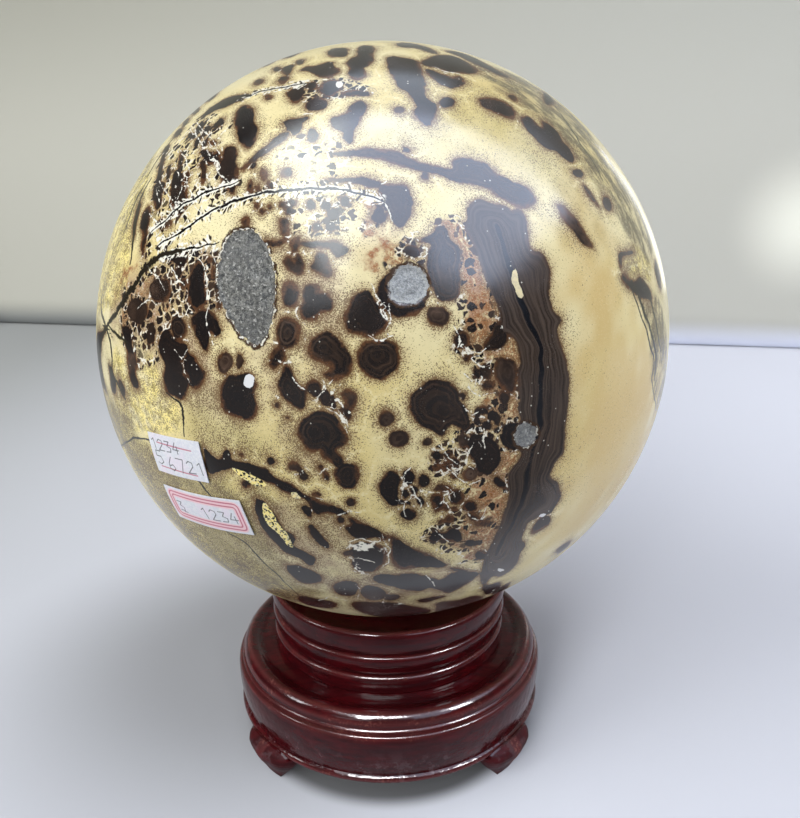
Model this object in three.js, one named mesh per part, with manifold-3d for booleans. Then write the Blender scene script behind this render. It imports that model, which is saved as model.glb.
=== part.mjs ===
// A picture jasper sphere on a turned hardwood stand with four carved feet.
// Millimetres, +Z up. The origin is on the surface that the feet stand on, below the sphere's centre.
// -Y is the front.

import * as THREE from "three";
import { mergeVertices } from "three/addons/utils/BufferGeometryUtils.js";
import Module from "manifold-3d";

const wasm = await Module();
wasm.setup();

// Driving dimensions
const SPHERE_DIAMETER = 189;
const SPHERE_CENTRE_HEIGHT = 148.5;
const SPHERE_RADIUS = SPHERE_DIAMETER / 2;

const COLLAR_RIM_HEIGHT = 58.4;
const COLLAR_FOOT_HEIGHT = 35.6;
const COLLAR_RIM_RADIUS = 44.9;
const SEAT_RADIUS = 27; // where the dish meets the seat ground for the sphere

const BASE_TOP_HEIGHT = 35.3;
const BASE_UNDERSIDE_HEIGHT = 11.2;
const DRUM_RADIUS = 58.6; // at its widest
const BEAD_RADIUS = 58.2;

const FOOT_COUNT = 4;
const FOOT_HEIGHT = 19.4;

const GAP = 0.3; // between pieces that touch
const TURNED_SEGMENTS = 44;
const SPHERE_DETAIL = 11; // each icosahedron edge is cut into one more than this

// Patches where the stone is coarse quartz instead of polished jasper, sunk a little below the surface.
// azimuth is to the right of the front and elevation is above the centre, in degrees.
const DRUSE_DEPTH = 0.8;
const DRUSE_PATCHES = [
  {
    azimuth: -20.7,
    elevation: 16.9,
    outline: [
      [-3, 14], [1, 13], [4.6, 9], [7.2, 2], [6.9, -8], [4, -13.2],
      [0, -11.2], [-4.6, -6], [-7.6, -0.6], [-8.3, 6], [-6.4, 12.4],
    ],
  },
  {
    azimuth: 3.4,
    elevation: 17.5,
    outline: [
      [0, 4.5], [3, 3.3], [4.5, 0.2], [3.3, -3.1], [0, -4.3], [-3.2, -3.6], [-4.3, -0.8], [-3, 3],
    ],
  },
  {
    azimuth: 20.9,
    elevation: -4.8,
    outline: [
      [0, 3], [2.3, 1.8], [3.4, -0.6], [2.4, -2.8], [0.2, -3.5], [-2.2, -2.4], [-3.1, -0.2], [-2.1, 2.1],
    ],
  },
];

// Two paper labels stuck on the sphere: width along the top edge, height, and the slant of the top edge.
const LABEL_THICKNESS = 0.2;
const LABEL_CELL = 3.5; // facet size
const LABELS = {
  upper_label: { azimuth: -35.6, elevation: -10.1, width: 20.2, height: 11.7, slant: 2 },
  lower_label: { azimuth: -32.9, elevation: -19.9, width: 28.9, height: 11.7, slant: 3 },
};

const stone = new THREE.MeshStandardMaterial({ color: 0xcdb879, roughness: 0.2, metalness: 0 });
const lacqueredWood = new THREE.MeshStandardMaterial({ color: 0x4a1214, roughness: 0.25, metalness: 0 });
const paper = new THREE.MeshStandardMaterial({ color: 0xe8e6ea, roughness: 0.8, metalness: 0 });

// A closed geometry as a solid that can be joined and cut.
function solidOf(geometry) {
  const bare = new THREE.BufferGeometry();
  bare.setAttribute("position", geometry.getAttribute("position"));
  if (geometry.index) bare.setIndex(geometry.index);
  const merged = mergeVertices(bare, 1e-3);
  return new wasm.Manifold(
    new wasm.Mesh({
      numProp: 3,
      vertProperties: merged.attributes.position.array,
      triVerts: new Uint32Array(merged.index.array),
    }),
  );
}

// A solid as a flat-shaded geometry.
function geometryOf(solid) {
  const mesh = solid.getMesh();
  const geometry = new THREE.BufferGeometry();
  geometry.setAttribute("position", new THREE.BufferAttribute(mesh.vertProperties, 3));
  geometry.setIndex(new THREE.BufferAttribute(mesh.triVerts, 1));
  const flat = geometry.toNonIndexed();
  flat.computeVertexNormals();
  return flat;
}

// A solid of revolution about Z, from a profile of [radius, height] points that starts and ends on the axis
// and runs upwards on its outside.
function turned(profile) {
  const points = profile.map(([radius, height]) => new THREE.Vector2(radius, height));
  return new THREE.LatheGeometry(points, TURNED_SEGMENTS).rotateX(Math.PI / 2);
}

// Points of an arc in a profile, both ends included.
function arc(centreRadius, centreHeight, radius, fromDegrees, toDegrees, steps) {
  return Array.from({ length: steps + 1 }, (_, i) => {
    const angle = THREE.MathUtils.degToRad(fromDegrees + ((toDegrees - fromDegrees) * i) / steps);
    return [centreRadius + radius * Math.cos(angle), centreHeight + radius * Math.sin(angle)];
  });
}

// Every vertex of a geometry moved to a new place.
function reshaped(geometry, move) {
  const position = geometry.getAttribute("position");
  const point = new THREE.Vector3();
  for (let i = 0; i < position.count; i++) {
    move(point.fromBufferAttribute(position, i));
    position.setXYZ(i, point.x, point.y, point.z);
  }
  return geometry;
}

// The local frame of a place on the sphere: to the right and upwards along the surface, and outward.
function placeOnSphere(azimuth, elevation) {
  const a = THREE.MathUtils.degToRad(azimuth);
  const e = THREE.MathUtils.degToRad(elevation);
  const out = new THREE.Vector3(Math.sin(a) * Math.cos(e), -Math.cos(a) * Math.cos(e), Math.sin(e));
  const right = new THREE.Vector3(Math.cos(a), Math.sin(a), 0);
  const up = new THREE.Vector3().crossVectors(out, right);
  return new THREE.Matrix4().makeBasis(right, up, out);
}

// The stone: a ball with the shallow druse patches cut out of its skin.
function ball(radius) {
  return solidOf(new THREE.IcosahedronGeometry(radius, SPHERE_DETAIL));
}

function drusePrism({ azimuth, elevation, outline }) {
  const shape = new THREE.Shape();
  const points = outline.map(([x, y]) => new THREE.Vector2(x, y));
  shape.moveTo(points[0].x, points[0].y);
  shape.splineThru([...points.slice(1), points[0]]);
  const prism = new THREE.ExtrudeGeometry(shape, {
    depth: SPHERE_RADIUS,
    bevelEnabled: false,
    curveSegments: 3, // between one outline point and the next
  });
  prism.translate(0, 0, SPHERE_RADIUS / 2);
  return solidOf(prism.applyMatrix4(placeOnSphere(azimuth, elevation)));
}

function stoneSphere() {
  const core = ball(SPHERE_RADIUS - DRUSE_DEPTH);
  const pits = DRUSE_PATCHES.map((patch) => drusePrism(patch).subtract(core));
  return geometryOf(pits.reduce((body, pit) => body.subtract(pit), ball(SPHERE_RADIUS)));
}

// The collar: three turned bands, each with a rounded lip over a groove, and a dish with a seat ground to
// fit the sphere.
function collar() {
  const bands = [
    { foot: COLLAR_FOOT_HEIGHT, top: 41.4, radius: 44.4, undercut: 0 },
    { foot: 42.2, top: 49.2, radius: 44.6, undercut: 1.2 },
    { foot: 50, top: COLLAR_RIM_HEIGHT, radius: COLLAR_RIM_RADIUS, undercut: 1.4 },
  ];
  const lip = 1.2;
  const side = bands.flatMap(({ foot, top, radius, undercut }) => [
    [radius - undercut, foot],
    [radius - undercut / 2, foot + 0.7],
    ...arc(radius - lip, top - lip, lip, 0, 75, 3),
  ]);
  const seatRadius = SPHERE_RADIUS + GAP;
  const seatEnd = THREE.MathUtils.radToDeg(Math.asin(SEAT_RADIUS / seatRadius));
  const seat = arc(0, SPHERE_CENTRE_HEIGHT, seatRadius, seatEnd - 90, -90, 6);
  const dish = [
    [COLLAR_RIM_RADIUS - 3.2, COLLAR_RIM_HEIGHT - 0.4],
    [COLLAR_RIM_RADIUS - 8, COLLAR_RIM_HEIGHT - 1.2],
    [SEAT_RADIUS + 3, COLLAR_RIM_HEIGHT - 1.3],
  ];
  return turned([[0, COLLAR_FOOT_HEIGHT], ...side, ...dish, ...seat]);
}

// The base: a turned plate with a rolled rim, over a drum that narrows down to a bead.
function base() {
  const beadTop = 13.1;
  const drumTop = 29.2;
  const rimGroove = { radius: 56.8, foot: 29.5, top: 30.7 };
  const rim = { radius: 52.6, height: 31.6, roll: 3.9 };
  return turned([
    [0, BASE_UNDERSIDE_HEIGHT],
    [BEAD_RADIUS - 0.7, BASE_UNDERSIDE_HEIGHT],
    [BEAD_RADIUS, BASE_UNDERSIDE_HEIGHT + 0.6],
    [BEAD_RADIUS, beadTop - 0.5],
    [BEAD_RADIUS - 1.1, beadTop + 0.2],
    [BEAD_RADIUS - 0.4, 17],
    [DRUM_RADIUS - 0.1, 22],
    [DRUM_RADIUS, 26],
    [DRUM_RADIUS - 0.4, drumTop - 0.5],
    [DRUM_RADIUS - 1.2, drumTop],
    [rimGroove.radius + 0.2, rimGroove.foot],
    [rimGroove.radius + 0.4, rimGroove.foot + 0.7],
    [rimGroove.radius - 0.3, rimGroove.top],
    ...arc(rim.radius, rim.height, rim.roll, -8, 120, 7),
    [rim.radius - 4, BASE_TOP_HEIGHT - 0.5],
    [COLLAR_RIM_RADIUS + 0.6, BASE_TOP_HEIGHT],
    [0, BASE_TOP_HEIGHT],
  ]);
}

// The base as a foot must clear it, grown by the gap.
function baseClearance() {
  const below = BASE_UNDERSIDE_HEIGHT - GAP;
  return turned([
    [0, below],
    [BEAD_RADIUS + GAP, below],
    [BEAD_RADIUS + GAP, 13.5],
    [BEAD_RADIUS - 0.5, 14.2],
    [BEAD_RADIUS + 0.1, 17],
    [DRUM_RADIUS + 0.4, 24],
    [0, 24],
  ]);
}

// One carved foot, facing the front: a knee that bulges over the drum's lower edge and narrows to a toe.
// Each level is [height, radius of the crest, half of the width as an angle about the axis in degrees].
const FOOT_LEVELS = [
  [0, 57.8, 3],
  [1, 58.6, 3.4],
  [4, 60.6, 5],
  [7, 62.6, 8],
  [9.5, 63.8, 12],
  [12, 64.4, 15.5],
  [14.5, 64, 17],
  [16.5, 62.6, 16],
  [18.4, 60.6, 13],
  [FOOT_HEIGHT, 59.4, 9],
];
const FOOT_BACK_RADIUS = 54;
const FOOT_EDGE_RADIUS = 57.2; // where the two sides end
const FOOT_COLUMNS = 8;

function foot() {
  const block = new THREE.BoxGeometry(2, 1, 1, FOOT_COLUMNS, 1, FOOT_LEVELS.length - 1);
  reshaped(block, (point) => {
    const level = Math.round((point.z + 0.5) * (FOOT_LEVELS.length - 1));
    const [height, crest, halfAngle] = FOOT_LEVELS[level];
    const angle = THREE.MathUtils.degToRad(point.x * halfAngle);
    const bulge = 1 - Math.abs(point.x) ** 2.2;
    const front = FOOT_EDGE_RADIUS + (crest - FOOT_EDGE_RADIUS) * bulge;
    const radius = point.y < 0 ? front : FOOT_BACK_RADIUS;
    point.set(radius * Math.sin(angle), -radius * Math.cos(angle), height);
  });
  return geometryOf(solidOf(block).subtract(solidOf(baseClearance())));
}

// A paper label: a thin sheet bent onto the sphere.
function label({ azimuth, elevation, width, height, slant }) {
  const columns = Math.round(width / LABEL_CELL);
  const rows = Math.round(height / LABEL_CELL);
  const sheet = new THREE.BoxGeometry(width, height, LABEL_THICKNESS, columns, rows, 1);
  sheet.rotateZ(THREE.MathUtils.degToRad(slant));
  const place = placeOnSphere(azimuth, elevation);
  reshaped(sheet, (point) => {
    const radius = SPHERE_RADIUS + GAP + LABEL_THICKNESS / 2 + point.z;
    const along = Math.hypot(point.x, point.y);
    const bend = along / SPHERE_RADIUS;
    const spread = along > 0 ? (radius * Math.sin(bend)) / along : 0;
    point.set(point.x * spread, point.y * spread, radius * Math.cos(bend)).applyMatrix4(place);
  });
  return geometryOf(solidOf(sheet));
}

function named(name, geometry, material) {
  const mesh = new THREE.Mesh(geometry, material);
  mesh.name = name;
  return mesh;
}

const part = new THREE.Group();

const stand = new THREE.Group();
stand.add(named("collar", collar(), lacqueredWood));
stand.add(named("base", base(), lacqueredWood));
const footNames = ["foot_front_right", "foot_back_right", "foot_back_left", "foot_front_left"];
footNames.forEach((name, i) => {
  const mesh = named(name, foot(), lacqueredWood);
  mesh.rotation.z = ((i + 0.5) * 2 * Math.PI) / FOOT_COUNT;
  stand.add(mesh);
});
part.add(stand);

const stoneAndLabels = new THREE.Group();
stoneAndLabels.position.z = SPHERE_CENTRE_HEIGHT;
stoneAndLabels.add(named("stone_sphere", stoneSphere(), stone));
for (const [name, size] of Object.entries(LABELS)) {
  stoneAndLabels.add(named(name, label(size), paper));
}
part.add(stoneAndLabels);

export default part;
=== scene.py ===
# A picture jasper sphere on its turned and lacquered hardwood stand, with two paper stickers.

import math

import bpy
import numpy as np
from mathutils import Matrix, Vector


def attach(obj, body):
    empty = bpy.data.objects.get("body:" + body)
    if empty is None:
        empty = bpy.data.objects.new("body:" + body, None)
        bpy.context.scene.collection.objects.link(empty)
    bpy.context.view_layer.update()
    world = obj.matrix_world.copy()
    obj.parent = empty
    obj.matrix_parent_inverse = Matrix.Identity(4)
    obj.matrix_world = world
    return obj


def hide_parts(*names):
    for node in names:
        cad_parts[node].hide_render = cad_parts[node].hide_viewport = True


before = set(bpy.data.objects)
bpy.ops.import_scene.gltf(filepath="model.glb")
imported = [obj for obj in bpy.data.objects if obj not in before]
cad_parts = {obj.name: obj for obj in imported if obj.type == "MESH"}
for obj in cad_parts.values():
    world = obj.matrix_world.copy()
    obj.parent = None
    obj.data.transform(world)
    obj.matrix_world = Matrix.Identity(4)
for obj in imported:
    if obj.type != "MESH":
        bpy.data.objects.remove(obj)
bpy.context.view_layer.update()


# The camera
# It stands a quarter of a metre in front of the stone, a little above its middle, and looks slightly
# down. The frame is 800 by 818 pixels.
FRAME_WIDTH = 800
FRAME_HEIGHT = 818
FOCAL_PIXELS = 720
SENSOR = 36.0
CAMERA_POINT = Vector((0.0, -0.2528, 0.1936))
CAMERA_FORWARD = Vector((0.0193, 0.9628, -0.2695)).normalized()
CAMERA_TILTED_RIGHT = Vector((0.9997, -0.0223, -0.0082))

camera_right = CAMERA_TILTED_RIGHT - CAMERA_FORWARD * CAMERA_TILTED_RIGHT.dot(CAMERA_FORWARD)
camera_right.normalize()
camera_up = camera_right.cross(CAMERA_FORWARD)

camera_data = bpy.data.cameras.new("photo_camera")
camera_data.sensor_width = SENSOR
camera_data.lens = SENSOR * FOCAL_PIXELS / FRAME_HEIGHT
camera_data.clip_start = 0.005
camera = bpy.data.objects.new("photo_camera", camera_data)
bpy.context.scene.collection.objects.link(camera)
camera.matrix_world = Matrix.Translation(CAMERA_POINT) @ Matrix(
    (camera_right, camera_up, -CAMERA_FORWARD)
).transposed().to_4x4()
bpy.context.scene.camera = camera


# The floor and the wall
# A pale cool table runs back to a pale warm wall, with a soft bend between them. The light is a broad
# soft window above the camera, and a narrower one behind on the right. Their colours also carry painted
# shade and a painted pool of light.
MM = 0.001
WALL_DISTANCE = 0.905
WALL_TURN = math.radians(-14.6)
COVE_RADIUS = 0.05
FLOOR_WIDTH = 8
FLOOR_FRONT_EDGE = -3
WALL_HEIGHT = 3
FLOOR_LEFT_SHADED = (0.315, 0.325, 0.325, 1)
FLOOR_RIGHT_LIT = (0.72, 0.745, 0.85, 1)
FLOOR_PAINTED_SHADOW = (0.09, 0.09, 0.095, 1)
FLOOR_SHADE = (0.17, 0.17, 0.172, 1)
STAND_PLACE = (0, 0, 0)
SHADE_PLACE = (-55, 32, 0)
WALL_COLOUR = (0.435, 0.43, 0.38, 1)
WALL_HIGH_SHADED = (0.27, 0.267, 0.228, 1)
WALL_RIGHT_SHADED = (0.385, 0.38, 0.34, 1)
WALL_PAINTED_GLOW = (0.66, 0.66, 0.58, 1)
PAINTED_GLOW_PLACE = (545, 690, 170)


def add_node(kind, sockets=None, tree=None, **settings):
    """A new node, its inputs given as plain values or as sockets of the tree that it joins."""
    sockets = sockets or {}
    linked = [name for name, value in sockets.items() if isinstance(value, bpy.types.NodeSocket)]
    tree = tree or sockets[linked[0]].id_data
    made = tree.nodes.new(kind)
    for name, value in settings.items():
        setattr(made, name, value)
    for name, value in sockets.items():
        if name in linked:
            tree.links.new(value, made.inputs[name])
        else:
            made.inputs[name].default_value = value
    return made


def rise(value, low, high, bottom=0.0, top=1.0):
    """A smooth rise from bottom to top as the value goes from low to high."""
    sockets = {"Value": value, "From Min": low, "From Max": high, "To Min": bottom, "To Max": top}
    return add_node("ShaderNodeMapRange", sockets, interpolation_type="SMOOTHSTEP").outputs["Result"]


def mixed(mask, under, over):
    """The colour under, covered by the colour over where the mask is 1."""
    return add_node("ShaderNodeMix", {0: mask, 6: under, 7: over}, data_type="RGBA").outputs[2]


def parts_of(vector):
    return add_node("ShaderNodeSeparateXYZ", {0: vector}).outputs


def distance_to(place, point):
    return add_node("ShaderNodeVectorMath", {0: place, 1: point}, operation="DISTANCE").outputs["Value"]


def bare_material(name):
    """A new material, its node tree and its one shader."""
    material = bpy.data.materials.new(name)
    material.use_nodes = True
    return material, material.node_tree, material.node_tree.nodes["Principled BSDF"]


def millimetres(tree):
    """The place on the object, in millimetres."""
    place = add_node("ShaderNodeTexCoord", tree=tree).outputs["Object"]
    return add_node("ShaderNodeVectorMath", {0: place, "Scale": 1 / MM}, operation="SCALE").outputs["Vector"]


bpy.ops.object.select_all(action="DESELECT")
bpy.ops.mesh.primitive_plane_add(size=1, location=(0, 0, 0))
backdrop = bpy.context.object
backdrop.name = "backdrop"
bpy.ops.object.mode_set(mode="EDIT")
bpy.ops.mesh.select_all(action="SELECT")
floor_end = WALL_DISTANCE - COVE_RADIUS
bpy.ops.transform.resize(value=(FLOOR_WIDTH, floor_end - FLOOR_FRONT_EDGE, 1))
bpy.ops.transform.translate(value=(0, (floor_end + FLOOR_FRONT_EDGE) / 2, 0))
bpy.ops.object.mode_set(mode="OBJECT")
far_y = max(v.co.y for v in backdrop.data.vertices)
for edge in backdrop.data.edges:
    edge.select = all(backdrop.data.vertices[i].co.y > far_y - 1e-4 for i in edge.vertices)
for polygon in backdrop.data.polygons:
    polygon.select = False
for vertex in backdrop.data.vertices:
    vertex.select = vertex.co.y > far_y - 1e-4
bpy.ops.object.mode_set(mode="EDIT")
bpy.ops.mesh.select_mode(type="EDGE")
bpy.ops.mesh.spin(
    steps=24, angle=math.pi / 2, center=(0, far_y, COVE_RADIUS), axis=(1, 0, 0), dupli=False,
)
bpy.ops.mesh.extrude_region_move(TRANSFORM_OT_translate={"value": (0, 0, WALL_HEIGHT)})
bpy.ops.mesh.select_all(action="SELECT")
bpy.ops.object.mode_set(mode="OBJECT")
backdrop.data.transform(Matrix.Rotation(WALL_TURN, 4, "Z"))
backdrop.data.shade_smooth()

material, tree, shader = bare_material("table_and_wall")
place = millimetres(tree)
across, away, height = parts_of(place)
# Painted light and shade: the table darkens to the left and brightens to the right.
tint = mixed(rise(across, -560, 180), FLOOR_LEFT_SHADED, FLOOR_RIGHT_LIT)
# Painted shadow of the stone and stand on the table, behind and to the left of the stand.
tint = mixed(rise(distance_to(place, SHADE_PLACE), 150, 35, 0.0, 0.74), tint, FLOOR_SHADE)
# Painted shadow on the table under the drum's edge.
tint = mixed(rise(distance_to(place, STAND_PLACE), 58.5, 51), tint, FLOOR_PAINTED_SHADOW)
# Painted shade on the table in front of the stand, out of the camera's view, darkening what the polish
# mirrors.
tint = mixed(rise(away, -66, -150), tint, FLOOR_PAINTED_SHADOW)
# Painted shade at the far left of the table.
tint = mixed(rise(across, -640, -780), tint, FLOOR_PAINTED_SHADOW)
# Painted shade: the wall darker to the right and towards the top.
wall_tint = mixed(rise(across, -350, 250), WALL_COLOUR, WALL_RIGHT_SHADED)
wall_tint = mixed(rise(height, 250, 620), wall_tint, WALL_HIGH_SHADED)
# A painted pool of light on the wall, to the right behind the stone.
wall_tint = mixed(rise(distance_to(place, PAINTED_GLOW_PLACE), 105, 0), wall_tint, WALL_PAINTED_GLOW)
tint = mixed(rise(height, 2, 45), tint, wall_tint)
tree.links.new(tint, shader.inputs["Base Color"])
shader.inputs["Roughness"].default_value = 0.6
backdrop.data.materials.append(material)

# A dark cloth behind the camera, seen only mirrored in the polish
CARD_PLACE = (0.02, -0.75, 0.45)
CARD_SIZE = (0.42, 0.80)
CARD_COLOUR = (0.03, 0.03, 0.035, 1)
bpy.ops.object.select_all(action="DESELECT")
bpy.ops.mesh.primitive_plane_add(size=1, location=(0, 0, 0))
card = bpy.context.object
card.name = "dark_card"
card.data.transform(Matrix.Diagonal((CARD_SIZE[0], CARD_SIZE[1], 1, 1)))
card.data.transform(Matrix.Rotation(math.pi / 2, 4, "X"))
card.data.transform(Matrix.Translation(CARD_PLACE))
material, tree, shader = bare_material("dark_cloth")
shader.inputs["Base Color"].default_value = CARD_COLOUR
shader.inputs["Roughness"].default_value = 0.9
card.data.materials.append(material)
card.visible_camera = False


LIT_POINT = Vector((0, 0, 0.15))


def softbox(name, azimuth, elevation, distance, width, height, radiance, tint):
    """A soft light that faces the stone. azimuth is to the right of the front, in degrees."""
    light = bpy.data.lights.new(name, "AREA")
    light.shape = "RECTANGLE"
    light.size = width
    light.size_y = height
    light.energy = radiance * math.pi * width * height
    light.color = tint
    lamp = bpy.data.objects.new(name, light)
    bpy.context.scene.collection.objects.link(lamp)
    a, e = math.radians(azimuth), math.radians(elevation)
    outward = Vector((math.sin(a) * math.cos(e), -math.cos(a) * math.cos(e), math.sin(e)))
    lamp.matrix_world = Matrix.Translation(LIT_POINT + outward * distance) @ (
        outward.to_track_quat("Z", "Y").to_matrix().to_4x4()
    )
    lamp.visible_camera = False
    return lamp


# Soft lights that the polish doesn't mirror
for name, azimuth, elevation, distance, width, height, radiance, tint in (
    ("ceiling_light", 2, 62, 1.25, 1.45, 1.0, 0.20, (0.97, 0.99, 1.0)),
    ("far_light", 165, 60, 0.95, 0.8, 0.8, 0.6, (1.0, 1.0, 1.0)),
    ("front_fill", -8, 21, 2.2, 2.6, 1.6, 4.6, (1.0, 1.0, 0.98)),
    ("left_fill", -72, 33, 2.0, 1.6, 1.6, 4.0, (1.0, 1.0, 0.97)),
    ("right_fill", 82, 16, 2.0, 1.6, 1.6, 3.0, (1.0, 1.0, 0.99)),
):
    softbox(name, azimuth, elevation, distance, width, height, radiance, tint).visible_glossy = False

# Two windows that show only in the polish
softbox("side_window", 106, 24, 0.9, 0.26, 0.40, 0.7, (0.88, 0.95, 1.0)).visible_diffuse = False
softbox("back_window", 141, 10, 0.82, 0.10, 0.34, 2.2, (1.0, 1.0, 0.97)).visible_diffuse = False

# The bright ceiling and a strip light beside it, seen only as a haze on the polish
CEILING_HEIGHT = 1.15
for name, x, y, width, depth, radiance, tint in (
    ("ceiling_sheen", 0.635, -0.77, 1.63, 1.66, 7.4, (0.66, 0.77, 1.0)),
    ("back_ceiling", 0.02, 0.28, 0.54, 0.44, 2.6, (0.70, 0.82, 1.0)),
    ("far_ceiling", 1.00, 0.28, 0.70, 0.44, 1.2, (0.70, 0.82, 1.0)),
    ("front_ceiling", 0.50, -1.95, 1.8, 0.70, 1.8, (0.84, 0.90, 1.0)),
    ("front_strip", -0.95, -1.95, 1.1, 0.80, 3.0, (0.90, 0.94, 1.0)),
    ("strip_light", -0.40, -0.725, 0.44, 1.55, 10.2, (0.86, 0.94, 1.0)),
):
    lamp = softbox(name, 0, 90, 1, width, depth, radiance, tint)
    lamp.matrix_world = Matrix.Translation((x, y, CEILING_HEIGHT))
    lamp.visible_diffuse = False

ROOM_COLOUR = (0.92, 0.95, 1.0, 1)
ROOM_STRENGTH = 0.43
world = bpy.data.worlds.new("room")
bpy.context.scene.world = world
world.use_nodes = True
world.node_tree.nodes["Background"].inputs["Color"].default_value = ROOM_COLOUR
world.node_tree.nodes["Background"].inputs["Strength"].default_value = ROOM_STRENGTH
world.cycles_visibility.glossy = False
bpy.context.scene.view_settings.view_transform = "Standard"


# The base of the stand
# A plate with a rolled rim over a drum that narrows to a bead, turned from one piece of hardwood and
# finished in thick dark red lacquer. The lacquer has worn thin along the edges.
BASE_TOP = 35.3
BASE_UNDERSIDE = 11.2
BEAD_RADIUS = 58.2
DRUM_RADIUS = 58.6
TURNED_STEPS = 192
FINE_STEP = 0.7
FINE_FROM_RADIUS = 40.0
RIM_CENTRE = (52.6, 31.6)
RIM_ROLL = 3.9


def arc(centre, radius, start, end, steps):
    """Points of an arc in a profile, in millimetres, with its angles in degrees."""
    angles = np.radians(np.linspace(start, end, steps + 1))
    return [(centre[0] + radius * math.cos(a), centre[1] + radius * math.sin(a)) for a in angles]


def fine_profile(profile):
    """The profile with its outer runs cut into short steps, for the wear along its edges."""
    points = [profile[0]]
    for (r0, z0), (r1, z1) in zip(profile, profile[1:]):
        outer = min(r0, r1) > FINE_FROM_RADIUS
        steps = max(1, math.ceil(math.hypot(r1 - r0, z1 - z0) / FINE_STEP)) if outer else 1
        for step in range(1, steps + 1):
            share = step / steps
            points.append((r0 + (r1 - r0) * share, z0 + (z1 - z0) * share))
    return points


def turned_piece(name, profile):
    """A piece turned about the stand's axis, from a profile that starts and ends on the axis."""
    points = [Vector((0, -r * MM, z * MM)) for r, z in fine_profile(profile)]
    bpy.ops.object.select_all(action="DESELECT")
    bpy.ops.mesh.primitive_plane_add(size=MM, location=(0, 0, 0))
    piece = bpy.context.object
    piece.name = name
    bpy.ops.object.mode_set(mode="EDIT")
    bpy.ops.mesh.select_mode(type="VERT")
    bpy.ops.mesh.select_all(action="SELECT")
    bpy.ops.mesh.merge(type="CENTER")
    bpy.ops.transform.translate(value=points[0])
    for here, there in zip(points, points[1:]):
        bpy.ops.mesh.extrude_region_move(TRANSFORM_OT_translate={"value": there - here})
    bpy.ops.mesh.select_all(action="SELECT")
    bpy.ops.mesh.spin(steps=TURNED_STEPS, angle=2 * math.pi, center=(0, 0, 0), axis=(0, 0, 1))
    bpy.ops.mesh.select_all(action="SELECT")
    bpy.ops.mesh.remove_doubles(threshold=0.01 * MM)
    bpy.ops.mesh.normals_make_consistent(inside=False)
    bpy.ops.object.mode_set(mode="OBJECT")
    piece.data.shade_smooth()
    return piece


def places(mesh):
    found = np.zeros(len(mesh.vertices) * 3)
    mesh.vertices.foreach_get("co", found)
    return found.reshape(-1, 3)


def keep_values(mesh, name, values):
    """Keeps one number or three for each vertex, as an attribute that the material reads."""
    values = np.asarray(values, dtype=np.float32)
    kind, slot = ("FLOAT", "value") if values.ndim == 1 else ("FLOAT_VECTOR", "vector")
    mesh.attributes.new(name, kind, "POINT").data.foreach_set(slot, values.ravel())


def mark_worn_edges(piece, crests, reach):
    """Marks how close each vertex is to a crest of the profile, where the lacquer has worn thin."""
    at = places(piece.data) / MM
    radius = np.hypot(at[:, 0], at[:, 1])
    distance = np.min([np.hypot(radius - r, at[:, 2] - z) for r, z in crests], axis=0)
    keep_values(piece.data, "wear", np.exp(-((distance / reach) ** 2)))


def only_selected(piece):
    bpy.ops.object.select_all(action="DESELECT")
    piece.select_set(True)
    bpy.context.view_layer.objects.active = piece


def smooth_within(piece, degrees):
    only_selected(piece)
    bpy.ops.object.shade_smooth_by_angle(angle=math.radians(degrees))


base_profile = [
    (0, BASE_UNDERSIDE), (BEAD_RADIUS - 0.8, BASE_UNDERSIDE), (BEAD_RADIUS - 0.2, 11.5),
    (BEAD_RADIUS, 12.1), (BEAD_RADIUS - 0.2, 12.8), (57.6, 13.2), (57.1, 13.5), (57.2, 14.2),
    (57.8, 17), (58.2, 19.5), (58.5, 22.3), (DRUM_RADIUS, 24.8), (DRUM_RADIUS, 27),
    (58.4, 28.3), (58.0, 29.0), (57.3, 29.3), (56.9, 29.5), (56.9, 29.8), (57.2, 30.1),
    (57.0, 30.5), (56.5, 30.8),
    *arc(RIM_CENTRE, RIM_ROLL, -8, 118, 22),
    (50.2, 35.0), (49.4, 34.75), (48.4, 34.75), (47.4, 34.95), (46.2, 35.2), (45.2, BASE_TOP),
    (0, BASE_TOP),
]
base = turned_piece("base_turned", base_profile)
BASE_CRESTS = [(58.2, 12.1), (58.2, 28.8), (57.1, 30.1), (54.5, 35.0), (56.2, 32.6)]
mark_worn_edges(base, BASE_CRESTS, 0.9)
smooth_within(base, 40)

# Deep red lacquer, with the wood's dark streaks running round under it
WOOD_DARK = (0.021, 0.0022, 0.0032, 1)
WOOD_RED = (0.056, 0.0028, 0.0045, 1)
WOOD_EDGE = (0.16, 0.045, 0.045, 1)
WOOD_WORN = (0.26, 0.10, 0.075, 1)
WOOD_DUST_AND_SHEEN = (0.075, 0.042, 0.047, 1)
WOOD_PORE = (0.012, 0.002, 0.003, 1)


def maths(operation, *values):
    return add_node("ShaderNodeMath", dict(enumerate(values)), operation=operation).outputs[0]


def add(a, b):
    return maths("ADD", a, b)


def less(a, b):
    return maths("SUBTRACT", a, b)


def times(a, b):
    return maths("MULTIPLY", a, b)


def at_least(a, b):
    return maths("MAXIMUM", a, b)


def joined(x, y, z):
    return add_node("ShaderNodeCombineXYZ", {0: x, 1: y, 2: z}).outputs[0]


def noise(place, scale, detail=2.0, roughness=0.5, distortion=0.0):
    sockets = {
        "Vector": place, "Scale": scale, "Detail": detail, "Roughness": roughness, "Distortion": distortion,
    }
    return add_node("ShaderNodeTexNoise", sockets).outputs["Fac"]


def kept_on_mesh(tree, name):
    return add_node("ShaderNodeAttribute", tree=tree, attribute_name=name).outputs


def bumped(shader, height, strength, distance):
    """Gives the surface a fine relief and returns its normals."""
    made = add_node("ShaderNodeBump", {"Height": height, "Strength": strength, "Distance": distance})
    made.id_data.links.new(made.outputs[0], shader.inputs["Normal"])
    return made.outputs[0]


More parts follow.
